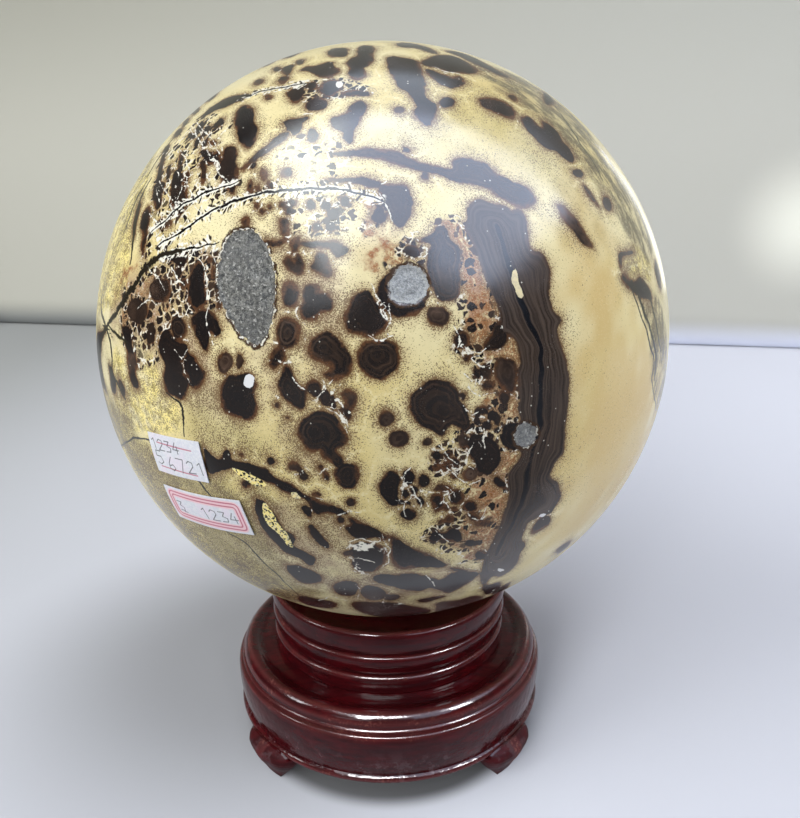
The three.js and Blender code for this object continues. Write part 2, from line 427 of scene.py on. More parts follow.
def lacquered_wood():
    material, tree, shader = bare_material("lacquered_wood")
    place = millimetres(tree)
    x, y, height = parts_of(place)
    around = maths("ARCTAN2", x, y)
    radius = maths("SQRT", add(times(x, x), times(y, y)))
    wear = kept_on_mesh(tree, "wear")["Fac"]

    # Streaks, pores, and a pale grey veil low on the drum, partly dust and partly a painted reflection of
    # the table
    streaky = joined(times(x, 0.05), times(y, 0.30), times(height, 0.5))
    cloud = noise(place, 0.045, 3.0)
    colour = mixed(rise(noise(streaky, 1.0, 5.0, 0.55, 0.5), 0.30, 0.74), WOOD_DARK, WOOD_RED)
    colour = mixed(rise(cloud, 0.42, 0.68, 0.0, 0.5), colour, WOOD_DARK)
    colour = mixed(rise(noise(streaky, 7.0), 0.62, 0.74, 0.0, 0.35), colour, WOOD_PORE)
    # Paler grey low on the drum: partly dust, partly a painted sheen of the mirrored table.
    dust_and_sheen = times(rise(noise(place, 0.20, 5.0, 0.72), 0.50, 0.64, 0.0, 0.60), rise(height, 27, 14))
    colour = mixed(dust_and_sheen, colour, WOOD_DUST_AND_SHEEN)

    # Worn edges, chipped in patches
    chips = noise(joined(times(around, 58.0), radius, height), 1.1, 3.0, 0.6)
    chipped = times(rise(chips, 0.50, 0.64), rise(noise(place, 0.11), 0.46, 0.70))
    colour = mixed(times(times(wear, chipped), 0.6), colour, WOOD_WORN)
    colour = mixed(times(wear, 0.30), colour, WOOD_EDGE)
    tree.links.new(colour, shader.inputs["Base Color"])

    # The feet and the flat of the plate have no thick coat
    beyond_drum = times(rise(radius, 58.75, 59.05), rise(height, 15, 13.5))
    on_foot = at_least(rise(height, 11.3, 10.3), beyond_drum)
    plate = times(rise(radius, 51, 49.5), times(rise(height, 35.5, 35.35), rise(height, 34.0, 34.5)))
    coat = less(0.20, times(at_least(plate, on_foot), 0.20))
    tree.links.new(coat, shader.inputs["Coat Weight"])
    shader.inputs["Coat Roughness"].default_value = 0.05
    shader.inputs["Specular IOR Level"].default_value = 0.12
    rough = add(rise(cloud, 0.3, 0.7, 0.10, 0.18), add(times(dust_and_sheen, 0.35), times(wear, 0.06)))
    tree.links.new(add(rough, times(on_foot, 0.36)), shader.inputs["Roughness"])

    ripples = times(noise(place, 0.42, 3.0), rise(height, 30, 24, 0.20, 0.85))
    relief = add(noise(place, 0.12), add(ripples, times(chips, times(wear, 0.30))))
    tree.links.new(bumped(shader, relief, 0.30, 0.0007), shader.inputs["Coat Normal"])
    return material


wood = lacquered_wood()
base.data.materials.append(wood)
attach(base, "root")
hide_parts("base")


# The four feet
# Each is carved from the same hardwood: a knee that bulges over the drum's lower edge, with a soft
# ridge down its middle, narrowing to a small toe. They are glued under the drum's edge.
FOOT_LEVELS = [  # height, radius at the foot's middle, and half its width in degrees
    (0, 57.3, 5.4), (0.5, 57.9, 5.7), (1.6, 58.3, 6.5), (3, 58.9, 7.8), (4.2, 59.5, 9.0), (5.4, 60.2, 10.2),
    (6.6, 60.9, 11.3), (8, 61.6, 12.2), (9.4, 61.9, 12.8), (10.6, 61.6, 12.9), (11.6, 60.8, 12.5),
    (12.4, 59.6, 11.6), (13.0, 58.4, 10),
]
FOOT_COLUMNS = 32
FOOT_ROWS = 36
FOOT_BACK_RADIUS = 54.0
FOOT_EDGE_RADIUS = 57.2
FOOT_TURNS = {
    "foot_front_right": 46.5, "foot_back_right": 135, "foot_back_left": 225, "foot_front_left": 311.5,
}


def foot_surface(across, height):
    """A point of the foot's front, with across from -1 to 1, and its angle about the stand's axis."""
    levels = np.array(FOOT_LEVELS)
    crest = np.interp(height, levels[:, 0], levels[:, 1])
    half_angle = np.interp(height, levels[:, 0], levels[:, 2])
    bulge = 1 - abs(across) ** 4
    ridge = 0.45 * math.exp(-((across / 0.20) ** 2)) * math.sin(math.pi * min(height / 12.0, 1.0))
    hollow = 0.15 * math.exp(-(((abs(across) - 0.42) / 0.20) ** 2)) * math.exp(-(((height - 7) / 4.0) ** 2))
    radius = FOOT_EDGE_RADIUS + (crest - FOOT_EDGE_RADIUS) * bulge + ridge - hollow - 0.1
    return radius, math.radians(across * half_angle)


def carved_foot():
    """One foot at the front, cut to clear the drum."""
    bpy.ops.object.select_all(action="DESELECT")
    bpy.ops.mesh.primitive_grid_add(x_subdivisions=FOOT_COLUMNS, y_subdivisions=FOOT_ROWS, size=2)
    piece = bpy.context.object
    for vertex in piece.data.vertices:
        across, level = vertex.co.x, (vertex.co.y + 1) / 2
        height = level * FOOT_LEVELS[-1][0]
        radius, angle = foot_surface(across, height)
        vertex.co = (radius * math.sin(angle) * MM, -radius * math.cos(angle) * MM, height * MM)
    bpy.ops.object.mode_set(mode="EDIT")
    bpy.ops.mesh.select_all(action="SELECT")
    bpy.ops.mesh.extrude_region_move(TRANSFORM_OT_translate={"value": (0, MM, 0)})
    bpy.ops.object.mode_set(mode="OBJECT")
    for vertex in piece.data.vertices:
        if not vertex.select:
            continue
        angle = math.atan2(vertex.co.x, -(vertex.co.y - MM))
        back = FOOT_BACK_RADIUS * MM
        vertex.co = (back * math.sin(angle), -back * math.cos(angle), vertex.co.z)
    bpy.ops.object.mode_set(mode="EDIT")
    bpy.ops.mesh.select_all(action="SELECT")
    bpy.ops.mesh.normals_make_consistent(inside=False)
    bpy.ops.object.mode_set(mode="OBJECT")
    return piece


CLEARANCE = 0.12
SLIVER = 0.02
clearance_profile = [
    (0, BASE_UNDERSIDE - CLEARANCE), (BEAD_RADIUS + CLEARANCE, BASE_UNDERSIDE - CLEARANCE),
    (BEAD_RADIUS + CLEARANCE, 12.9), (57.3, 13.6), (57.9, 17), (58.65, 22.3), (58.7, 24.8), (0, 24.8),
]
cutter = turned_piece("foot_cutter", clearance_profile)
foot = carved_foot()
only_selected(foot)
cut = foot.modifiers.new("clear_the_drum", "BOOLEAN")
cut.operation = "DIFFERENCE"
cut.solver = "EXACT"
cut.object = cutter
bpy.ops.object.modifier_apply(modifier=cut.name)
bpy.data.objects.remove(cutter)
bpy.ops.object.mode_set(mode="EDIT")
bpy.ops.mesh.select_all(action="SELECT")
bpy.ops.mesh.remove_doubles(threshold=SLIVER * MM)
bpy.ops.mesh.dissolve_degenerate(threshold=SLIVER * MM)
bpy.ops.object.mode_set(mode="OBJECT")
foot_wear = places(foot.data) / MM
ridge_line = np.abs(np.degrees(np.arctan2(foot_wear[:, 0], -foot_wear[:, 1]))) < 2.2
keep_values(foot.data, "wear", 0.7 * ridge_line * (np.hypot(foot_wear[:, 0], foot_wear[:, 1]) > 59))
foot.data.materials.append(wood)
foot.name = "foot_pattern"
for node_name, turn in FOOT_TURNS.items():
    copy = foot.copy()
    copy.data = foot.data.copy()
    copy.name = node_name + "_carved"
    bpy.context.scene.collection.objects.link(copy)
    copy.data.transform(Matrix.Rotation(math.radians(turn), 4, "Z"))
    smooth_within(copy, 60)
    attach(copy, "root")
    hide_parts(node_name)
bpy.data.objects.remove(foot)


# The collar
# Three turned bands with rounded lips over narrow grooves, in one piece, lacquered like the base. Its
# dished top has a seat ground to the sphere's curve.
COLLAR_FOOT = 35.6
SEAT_RADIUS = 27.0
STONE_RADIUS = 94.5
STONE_CENTRE = 148.5
GAP = 0.3
COLLAR_LIP = 1.7
COLLAR_BANDS = [(35.6, 41.4, 44.4, 0.0), (42.2, 49.2, 44.6, 1.2), (50.0, 58.4, 44.9, 1.4)]


def collar_profile():
    side = []
    for foot_height, top, radius, undercut in COLLAR_BANDS:
        side += [(radius - undercut, foot_height), (radius - undercut / 2, foot_height + 0.7)]
        side += [(radius - 0.12, (foot_height + top) / 2)]
        side += arc((radius - COLLAR_LIP, top - COLLAR_LIP), COLLAR_LIP, 0, 86, 8)
    seat_radius = STONE_RADIUS + GAP
    seat_end = math.degrees(math.asin(SEAT_RADIUS / seat_radius))
    dish = [(41.7, 58.0), (39.5, 57.5), (36.9, 57.2), (30, 57.1)]
    seat = arc((0, STONE_CENTRE), seat_radius, seat_end - 90, -90, 12)
    return [(0, COLLAR_FOOT), *side, *dish, *seat]


collar = turned_piece("collar_turned", collar_profile())
COLLAR_CRESTS = [(44.2, 58.2), (44.2, 49.0), (44.0, 41.2)]
mark_worn_edges(collar, COLLAR_CRESTS, 0.8)
smooth_within(collar, 40)
collar.data.materials.append(wood)
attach(collar, "root")
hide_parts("collar")

# Lamps that only the lacquer mirrors, for the white lines along its lips and its rolled rim
lacquered = bpy.data.collections.new("lacquered_pieces")
for piece in (base, collar):
    lacquered.objects.link(piece)
for name, azimuth, elevation, width, height, radiance in (
    ("front_glint", -9, 47, 0.70, 0.62, 150.0),
    ("right_glint", 58, 40, 0.34, 0.40, 120.0),
    ("left_glint", -75, 34, 0.26, 0.40, 34.0),
):
    lamp = softbox(name, azimuth, elevation, 1.5, width, height, radiance, (0.96, 0.98, 1.0))
    lamp.visible_diffuse = False
    lamp.light_linking.receiver_collection = lacquered


# The stone
# One ball of picture jasper, ground and polished: cream and tan, with near-black spots, bands and
# fern-like veins that grew in it, and three patches of coarse quartz that wouldn't take the polish.
# Places of its markings are pixels of the photograph's frame, u to the right and v down.
FRONT_DENSITY = 0.3  # how much finer the mesh is towards the camera
FACE_CUTS = 98
WOBBLE = 0.22
BLACK = 0.05
UMBER = 0.35
BROWN = 0.65
GREY = 0.9
REACH = 9.0  # how far from a spot its distance is kept, in millimetres


def unit(vectors):
    return vectors / np.linalg.norm(vectors, axis=-1, keepdims=True)


TOWARD_CAMERA = unit(-np.array(CAMERA_FORWARD))


def photo_direction(pixels):
    """From the stone's centre towards where rays through pixels meet the stone."""
    pixels = np.asarray(pixels, float).reshape(-1, 2)
    right, up, forward = (np.array(v) for v in (camera_right, camera_up, CAMERA_FORWARD))
    across = (pixels[:, :1] - FRAME_WIDTH / 2) / FOCAL_PIXELS
    down = (pixels[:, 1:] - FRAME_HEIGHT / 2) / FOCAL_PIXELS
    rays = unit(forward + across * right - down * up)
    start = np.array(CAMERA_POINT) / MM - np.array([0, 0, STONE_CENTRE])
    along = rays @ start
    under_root = along**2 - (start @ start - STONE_RADIUS**2)
    return unit(start + rays * (-along - np.sqrt(np.maximum(under_root, 0)))[:, None])


def place_direction(places_in_degrees):
    """From the stone's centre towards places given as degrees to the right of the front and up."""
    turned = np.radians(np.asarray(places_in_degrees, float).reshape(-1, 2))
    a, e = turned[:, 0], turned[:, 1]
    return np.stack([np.sin(a) * np.cos(e), -np.cos(a) * np.cos(e), np.sin(e)], 1)


def flat_frame(centre):
    """Two directions along the surface at a place on the stone."""
    side = unit(np.cross([0.0, 0.0, 1.0], centre) + np.array([1e-9, 0, 0]))
    return side, np.cross(centre, side)


def flattened(directions, centre, frame_pair):
    """Places near the centre laid flat around it, in millimetres along the surface."""
    angle = np.arccos(np.clip(directions @ centre, -1, 1))
    x, y = directions @ frame_pair[0], directions @ frame_pair[1]
    spread = angle / np.maximum(np.hypot(x, y), 1e-9) * STONE_RADIUS
    return np.stack([x * spread, y * spread], 1)


def curve(points, closed, steps=5):
    """A smooth curve through the points."""
    count = len(points)
    index = np.arange(count if closed else count - 1)

    def point(shift):
        at = index + shift
        return points[at % count] if closed else points[np.clip(at, 0, count - 1)]

    p0, p1, p2, p3 = point(-1), point(0), point(1), point(2)
    t = (np.arange(steps) / steps)[:, None, None]
    made = 0.5 * (
        2 * p1 + (p2 - p0) * t + (2 * p0 - 5 * p1 + 4 * p2 - p3) * t**2 + (3 * p1 - p0 - 3 * p2 + p3) * t**3
    )
    made = made.transpose(1, 0, 2).reshape(-1, points.shape[1])
    return made if closed else np.vstack([made, points[-1:]])


def distance_to_line(at, line, closed):
    """The distance from each place to a line of points, in millimetres."""
    ends = np.roll(line, -1, 0) if closed else line[1:]
    starts = line if closed else line[:-1]
    best = np.full(len(at), np.inf)
    for a, b in zip(starts, ends):
        run = b - a
        share = np.clip(((at - a) @ run) / max(run @ run, 1e-12), 0, 1)
        gap = at - a - share[:, None] * run
        best = np.minimum(best, np.einsum("ij,ij->i", gap, gap))
    return np.sqrt(best)


def inside(at, line):
    """Whether each place is inside a closed line."""
    found = np.zeros(len(at), bool)
    x, y = at[:, 0], at[:, 1]
    for (ax, ay), (bx, by) in zip(line, np.roll(line, -1, 0)):
        crosses = (ay > y) != (by > y)
        meets = ax + (y - ay) * (bx - ax) / (by - ay if by != ay else 1e-12)
        found ^= crosses & (x < meets)
    return found


def depth_inside(at, line):
    """How deep each place is inside a closed line, in millimetres, and below 0 outside it."""
    depth = distance_to_line(at, line, True)
    return np.where(inside(at, line), depth, -depth)


def waves(at, wavelength, seed):
    """Smooth irregular waves between about -1 and 1."""
    rng = np.random.default_rng(seed)
    total = np.zeros(len(at))
    for _ in range(9):
        heading = unit(rng.normal(size=3))
        length = wavelength * rng.uniform(0.6, 1.7)
        total += np.sin(at @ heading * (2 * math.pi / length) + rng.uniform(0, 2 * math.pi))
    return total / 3


def rough_ball():
    """A ball of even triangles, finer on the side that faces the camera."""
    bpy.ops.object.select_all(action="DESELECT")
    bpy.ops.mesh.primitive_ico_sphere_add(
        subdivisions=1, radius=STONE_RADIUS * MM, location=(0, 0, STONE_CENTRE * MM)
    )
    ball = bpy.context.object
    ball.name = "stone_ball"
    bpy.ops.object.mode_set(mode="EDIT")
    bpy.ops.mesh.select_all(action="SELECT")
    bpy.ops.mesh.subdivide(number_cuts=FACE_CUTS)
    bpy.ops.object.mode_set(mode="OBJECT")
    directions = unit(places(ball.data))
    angle = np.arccos(np.clip(directions @ TOWARD_CAMERA, -1, 1))
    sideways = directions - np.outer(directions @ TOWARD_CAMERA, TOWARD_CAMERA)
    sideways /= np.maximum(np.linalg.norm(sideways, axis=1, keepdims=True), 1e-9)
    angle = angle - FRONT_DENSITY * np.sin(angle)
    directions = np.cos(angle)[:, None] * TOWARD_CAMERA + np.sin(angle)[:, None] * sideways
    return ball, unit(directions)


stone, skin = rough_ball()
skin_mm = skin * STONE_RADIUS
wobble = np.stack([waves(skin_mm, 5.0, 11 + axis) for axis in range(3)], 1)
marked_skin = unit(skin_mm + WOBBLE * wobble)

nearest = np.full(len(skin), -REACH)
second = np.full(len(skin), -REACH)
growth = np.ones(len(skin))
tone = np.zeros(len(skin))
banding = np.zeros(len(skin))


def cover(outline, darkness, rings, core=None, core_line=False):
    """Adds one dark spot, given by directions around it and, where it grew from elsewhere, its core."""
    centre = unit(outline.mean(0))
    pair = flat_frame(centre)
    line = curve(flattened(outline, centre, pair), True)
    reach = (np.linalg.norm(line, axis=1).max() + REACH) / STONE_RADIUS
    near = np.flatnonzero(marked_skin @ centre > math.cos(min(reach, 3.1)))
    at = flattened(marked_skin[near], centre, pair)
    depth = depth_inside(at, line)
    if core_line:
        from_core = distance_to_line(at, curve(flattened(core, centre, pair), False), False)
    else:
        middle = line.mean(0) if core is None else flattened(core, centre, pair)[0]
        from_core = np.hypot(*(at - middle).T)
    grown = from_core / np.maximum(from_core + np.maximum(depth, 0), 1e-6)
    wins = depth > nearest[near]
    second[near] = np.where(wins, nearest[near], np.maximum(second[near], depth))
    chosen = near[wins]
    nearest[chosen] = depth[wins]
    growth[chosen] = grown[wins]
    tone[chosen] = darkness
    banding[chosen] = rings


def spot(darkness, rings, outline, core=None):
    """A dark spot with its outline in pixels, from near-black at 0 to grey-brown at 1."""
    cover(photo_direction(outline), darkness, rings, None if core is None else photo_direction(core))


def oval(darkness, rings, u, v, half_width, half_height, tilt=0):
    """An oval spot at a pixel. tilt leans its top to the right, in degrees."""
    turn = np.linspace(0, 2 * math.pi, 12, endpoint=False)
    lean = math.radians(tilt)
    x, y = half_width * np.cos(turn), half_height * np.sin(turn)
    pixels = np.stack(
        [u + x * math.cos(lean) - y * math.sin(lean), v + x * math.sin(lean) + y * math.cos(lean)], 1
    )
    cover(photo_direction(pixels), darkness, rings)


# Each spot: how dark it is, how much it shows rings, its outline, and a core off its middle
SPOTS = [
    # in the middle, some with rings like a tree's
    (UMBER, 0, [241, 222, 245, 218, 250, 219, 250, 226, 246, 227]),
    (UMBER, .2, [277, 221, 281, 218, 286, 218, 289, 226, 290, 234, 286, 237, 281, 234, 279, 227]),
    (BLACK, 0, [261, 242, 267, 240, 276, 240, 285, 238, 290, 238, 284, 244, 275, 246, 266, 245]),
    (UMBER, .3, [282, 262, 286, 256, 291, 255, 294, 262, 298, 254, 303, 257, 306, 266, 303, 273, 300, 276,
        293, 274, 287, 270, 283, 266]),
    (UMBER, .2, [290, 243, 293, 238, 298, 236, 301, 238, 300, 246, 297, 252, 294, 254, 291, 249]),
    (UMBER, .2, [301, 244, 310, 241, 325, 240, 338, 240, 344, 244, 350, 248, 348, 253, 340, 257, 334, 257,
        330, 252, 325, 249, 315, 249, 305, 248]),
    (UMBER, .2, [319, 252, 325, 256, 331, 266, 333, 272, 328, 278, 322, 277, 314, 272, 311, 266, 315, 258]),
    (BLACK, .1, [283, 288, 287, 282, 294, 281, 298, 287, 299, 297, 298, 305, 293, 308, 286, 307, 282, 301,
        281, 294]),
    (BLACK, .15, [302, 293, 306, 286, 312, 283, 318, 286, 320, 293, 327, 294, 333, 301, 330, 309, 322, 314,
        315, 320, 308, 321, 302, 317, 300, 308, 303, 301]),
    (.12, .35, [343, 318, 347, 308, 353, 298, 362, 291, 370, 290, 376, 299, 382, 309, 388, 318, 387, 328,
        380, 334, 370, 337, 358, 336, 348, 330]),
    (UMBER, 0, [378, 206, 384, 211, 387, 218, 381, 223, 374, 221, 371, 216]),
    (UMBER, .2, [379, 188, 386, 184, 396, 183, 405, 186, 411, 194, 413, 205, 410, 217, 404, 226, 399, 229,
        394, 224, 389, 214, 383, 206, 379, 198]),
    (.28, .9, [420, 240, 428, 236, 434, 230, 440, 226, 446, 229, 449, 237, 455, 243, 460, 252, 461, 262,
        460, 272, 461, 283, 460, 292, 456, 299, 448, 301, 440, 299, 433, 292, 430, 283, 428, 272, 426, 262,
        428, 252, 430, 245], [451, 256]),
    (.75, .3, [427, 312, 430, 307, 437, 306, 445, 308, 450, 314, 447, 322, 441, 327, 433, 325, 428, 319]),
    (.12, 0, [270, 360, 272, 354, 276, 348, 279, 345, 284, 349, 287, 357, 285, 363, 279, 366, 273, 369, 269,
        365]),
    (.12, .3, [277, 383, 281, 376, 284, 366, 288, 364, 293, 372, 298, 382, 304, 390, 306, 396, 303, 402,
        303, 409, 297, 409, 288, 403, 282, 396, 278, 389]),
    (.2, .7, [307, 350, 310, 341, 318, 334, 328, 332, 336, 337, 345, 348, 352, 358, 352, 370, 346, 377, 336,
        381, 326, 379, 322, 374, 330, 369, 325, 364, 317, 361, 310, 356], [322, 346]),
    (.2, 1, [357, 357, 359, 348, 364, 342, 372, 340, 382, 339, 392, 342, 398, 348, 400, 358, 398, 368, 390,
        374, 382, 379, 374, 379, 366, 374, 360, 366], [377, 351]),
    (UMBER, 0, [305, 385, 309, 380, 317, 380, 321, 386, 321, 393, 316, 397, 310, 394, 306, 390]),
    (UMBER, 0, [318, 395, 325, 389, 330, 393, 331, 401, 326, 405, 320, 402]),
    (.55, .1, [340, 392, 346, 388, 352, 390, 357, 397, 357, 405, 352, 411, 351, 418, 348, 421, 343, 414,
        341, 408, 346, 403, 343, 397]),
    (.1, .9, [299, 424, 305, 417, 312, 413, 322, 411, 332, 413, 340, 420, 346, 430, 348, 440, 343, 446, 338,
        450, 342, 458, 341, 464, 336, 466, 330, 462, 322, 456, 320, 450, 312, 452, 305, 449, 301, 441, 297,
        433], [312, 432]),
    (.1, .6, [333, 473, 338, 466, 347, 463, 356, 465, 360, 473, 359, 482, 354, 488, 346, 489, 339, 486, 335,
        480], [350, 472]),
    (.5, 0, [288, 464, 292, 461, 298, 463, 304, 469, 306, 474, 301, 474, 296, 470, 290, 469]),
    (.2, 0, [266, 458, 271, 457, 275, 461, 271, 465, 267, 463]),
    (.2, 1, [410, 403, 411, 396, 417, 390, 424, 384, 433, 380, 444, 380, 452, 384, 458, 390, 459, 400, 466,
        406, 469, 414, 469, 426, 464, 432, 458, 427, 452, 425, 447, 431, 443, 437, 437, 434, 431, 429, 422,
        426, 414, 419, 410, 411], [445, 412]),
    # beside the great band
    (UMBER, 0, [453, 341, 457, 334, 465, 332, 470, 338, 469, 346, 463, 349, 457, 349]),
    (.2, 0, [462, 355, 466, 353, 471, 354, 472, 357, 467, 361, 463, 359]),
    (.2, 0, [473, 368, 477, 367, 481, 371, 483, 377, 478, 379, 474, 376]),
    (.5, .2, [497, 360, 505, 358, 513, 360, 518, 368, 518, 380, 514, 392, 505, 391, 498, 385, 495, 375]),
    (UMBER, 0, [498, 393, 505, 390, 511, 394, 511, 401, 505, 405, 499, 401]),
    (.25, 0, [483, 345, 488, 338, 494, 328, 500, 322, 506, 330, 508, 340, 503, 347, 493, 351, 485, 351]),
    (.15, .2, [468, 440, 475, 434, 485, 436, 494, 440, 500, 450, 500, 462, 494, 471, 486, 475, 478, 469,
        471, 458, 467, 448]),
    (.7, 0, [459, 437, 464, 433, 469, 437, 469, 444, 463, 449, 459, 444]),
    (BLACK, .1, [379, 485, 382, 477, 388, 472, 396, 472, 401, 478, 400, 487, 397, 496, 397, 506, 391, 507,
        385, 501, 380, 494]),
    (BLACK, 0, [403, 480, 404, 473, 409, 470, 414, 473, 414, 481, 409, 487, 405, 485]),
    (.1, 0, [410, 490, 415, 487, 419, 489, 417, 494, 413, 496]),
    (.1, 0, [416, 498, 421, 496, 425, 500, 424, 506, 419, 505]),
    (.06, 0, [401, 514, 406, 509, 413, 508, 418, 512, 416, 518, 410, 521, 404, 519]),
    (BROWN, 0, [433, 490, 437, 485, 445, 484, 452, 487, 448, 491, 440, 492]),
    (.2, 0, [431, 500, 434, 494, 441, 494, 444, 499, 442, 508, 436, 512, 432, 508]),
    (.25, 0, [449, 492, 456, 488, 463, 491, 466, 498, 460, 504, 452, 502]),
    (.3, 0, [463, 505, 468, 500, 475, 503, 477, 509, 471, 512, 464, 510]),
    (.1, 0, [465, 514, 472, 512, 480, 516, 482, 520, 476, 522, 468, 519]),
    (.1, 0, [474, 524, 482, 520, 490, 521, 488, 526, 480, 526]),
    (.15, 0, [431, 538, 436, 530, 444, 532, 450, 528, 458, 531, 462, 537, 459, 542, 450, 542, 443, 540, 436,
        542]),
    (.1, 0, [493, 478, 498, 476, 505, 482, 508, 488, 504, 489, 497, 486, 492, 482]),
    # on the left
    (BLACK, .1, [190, 275, 193, 267, 198, 262, 202, 264, 205, 275, 205, 290, 206, 301, 200, 309, 194, 308,
        188, 300, 187, 290]),
    (BLACK, .1, [191, 318, 197, 311, 203, 309, 212, 311, 218, 320, 221, 332, 215, 336, 210, 333, 209, 345,
        206, 351, 200, 345, 194, 333]),
    (.1, .2, [158, 342, 163, 332, 168, 329, 172, 336, 180, 340, 187, 345, 187, 355, 182, 362, 184, 372, 190,
        380, 188, 388, 185, 397, 181, 401, 175, 396, 168, 394, 164, 385, 163, 375, 166, 368, 160, 355]),
    (BLACK, .2, [184, 360, 188, 354, 194, 356, 199, 364, 204, 372, 204, 380, 200, 389, 193, 388, 187, 380,
        184, 370]),
    (BLACK, .2, [221, 384, 227, 377, 236, 375, 247, 373, 254, 378, 257, 385, 255, 393, 258, 402, 257, 413,
        250, 421, 241, 419, 231, 415, 223, 408, 220, 398, 220, 390]),
    (.5, 0, [127, 307, 132, 300, 140, 299, 147, 306, 148, 316, 141, 325, 134, 322, 128, 314]),
    (.6, 0, [149, 290, 152, 283, 158, 278, 168, 281, 171, 290, 168, 300, 158, 302, 151, 298]),
    (.15, 0, [167, 254, 178, 254, 188, 256, 184, 266, 176, 264, 169, 260]),
    (.2, 0, [139, 203, 141, 206, 137, 222, 135, 236, 132, 234, 134, 220]),
    (.15, 0, [146, 208, 150, 207, 150, 220, 148, 230, 146, 242, 144, 256, 141, 250, 142, 236, 140, 226, 142,
        215]),
    (BROWN, 0, [158, 222, 163, 218, 170, 220, 171, 226, 164, 229, 159, 227]),
    (UMBER, 0, [170, 200, 172, 186, 178, 181, 186, 183, 188, 196, 186, 206, 180, 215, 174, 210]),
    (.2, 0, [154, 186, 160, 181, 166, 183, 162, 195, 160, 207, 155, 209, 153, 198]),
    (.15, 0, [122, 328, 127, 326, 131, 333, 132, 345, 134, 352, 130, 355, 126, 348, 124, 338]),
    (GREY, 0, [128, 350, 134, 350, 137, 362, 136, 372, 131, 374, 127, 362]),
    (.3, 0, [129, 372, 134, 369, 137, 378, 139, 388, 134, 387, 130, 379]),
    (.1, 0, [97, 336, 102, 331, 106, 330, 102, 342, 101, 360, 104, 380, 106, 390, 100, 378, 97, 358]),
    (.15, 0, [109, 366, 112, 368, 115, 380, 116, 393, 112, 390, 110, 378]),
    (.15, 0, [118, 380, 122, 382, 125, 392, 124, 398, 120, 391]),
    # at the top left
    (BLACK, .15, [236, 113, 240, 107, 247, 105, 253, 108, 255, 115, 254, 123, 257, 128, 257, 137, 253, 145,
        247, 148, 241, 143, 237, 135, 235, 124]),
    (.2, 0, [199, 151, 205, 150, 212, 152, 220, 151, 220, 160, 213, 164, 207, 161, 202, 157]),
    (.4, 0, [222, 157, 225, 149, 231, 146, 237, 149, 238, 155, 235, 162, 238, 168, 238, 175, 236, 185, 234,
        196, 228, 192, 222, 186, 221, 176, 217, 170, 218, 165]),
    (.5, 0, [200, 163, 205, 160, 207, 166, 205, 175, 205, 182, 202, 184, 200, 178, 202, 171]),
    (.15, 0, [168, 150, 164, 160, 162, 172, 160, 186, 156, 182, 158, 172, 161, 160, 164, 152]),
    (.15, 0, [171, 184, 174, 173, 179, 169, 183, 176, 184, 188, 181, 194, 174, 193]),
    (BLACK, 0, [281, 71, 284, 67, 290, 65, 294, 65, 292, 70, 288, 76, 284, 73]),
    (.1, 0, [277, 82, 281, 77, 288, 77, 288, 80, 283, 84]),
    (.3, 0, [300, 71, 306, 66, 314, 66, 322, 64, 328, 62, 333, 62, 334, 67, 339, 69, 338, 74, 330, 78, 321,
        77, 313, 73, 306, 71]),
    (.1, 0, [328, 55, 332, 49, 342, 48, 348, 50, 346, 56, 338, 57]),
    (.1, .3, [347, 63, 352, 58, 358, 55, 357, 49, 362, 46, 371, 46, 374, 50, 373, 58, 370, 65, 364, 69, 366,
        74, 363, 79, 356, 80, 350, 77, 347, 72, 350, 68]),
    (.15, 0, [320, 92, 320, 86, 325, 81, 333, 79, 341, 82, 342, 88, 338, 92, 334, 96, 327, 97]),
    (UMBER, 0, [305, 108, 307, 102, 314, 98, 323, 98, 328, 103, 325, 108, 316, 111, 309, 111]),
    (UMBER, 0, [285, 94, 292, 89, 298, 85, 304, 88, 303, 95, 300, 102, 293, 103, 289, 99]),
    (.5, 0, [342, 92, 352, 90, 362, 91, 370, 93, 366, 96, 355, 95, 346, 96]),
    (.3, .1, [331, 118, 338, 116, 346, 113, 352, 104, 360, 101, 367, 105, 366, 112, 360, 119, 356, 128, 354,
        138, 350, 144, 345, 141, 344, 133, 338, 129, 332, 126]),
    (UMBER, 0, [282, 123, 290, 119, 300, 118, 308, 116, 309, 119, 304, 122, 300, 130, 294, 135, 288, 132,
        286, 127]),
    (.4, 0, [280, 173, 284, 168, 292, 169, 293, 175, 287, 178, 281, 177]),
    (.6, 0, [240, 170, 247, 162, 255, 154, 265, 146, 274, 138, 284, 132, 288, 135, 280, 144, 270, 152, 258,
        159, 248, 167, 242, 173]),
    # spots and bands at the top right
    (.28, .2, [387, 65, 387, 59, 392, 56, 400, 57, 410, 59, 418, 62, 422, 70, 424, 80, 425, 90, 428, 98,
        436, 105, 437, 112, 434, 120, 428, 126, 421, 122, 414, 113, 416, 107, 411, 98, 407, 92, 399, 87,
        395, 78, 390, 72]),
    (.2, .2, [421, 63, 427, 59, 435, 56, 447, 55, 458, 58, 466, 62, 473, 66, 478, 71, 470, 74, 460, 73, 448,
        72, 436, 68, 428, 67]),
    (.25, .1, [425, 69, 434, 71, 445, 75, 454, 77, 460, 76, 464, 82, 461, 87, 452, 88, 442, 85, 435, 80,
        429, 75]),
    (.3, .1, [439, 102, 442, 98, 448, 97, 454, 99, 455, 103, 451, 107, 445, 108, 440, 106]),
    (.4, .2, [477, 100, 482, 98, 490, 98, 500, 100, 508, 104, 514, 109, 516, 115, 512, 119, 504, 117, 495,
        113, 486, 109, 480, 105]),
    (.2, 0, [508, 96, 514, 95, 518, 99, 515, 102, 510, 99]),
    (.3, .1, [520, 120, 525, 116, 531, 118, 537, 125, 541, 127, 542, 122, 548, 124, 556, 131, 562, 141, 570,
        149, 574, 158, 571, 162, 564, 158, 556, 151, 548, 149, 540, 144, 532, 135, 525, 128]),
    (.1, 0, [396, 44, 408, 43, 420, 45, 432, 49, 437, 54, 428, 52, 415, 48, 402, 47]),
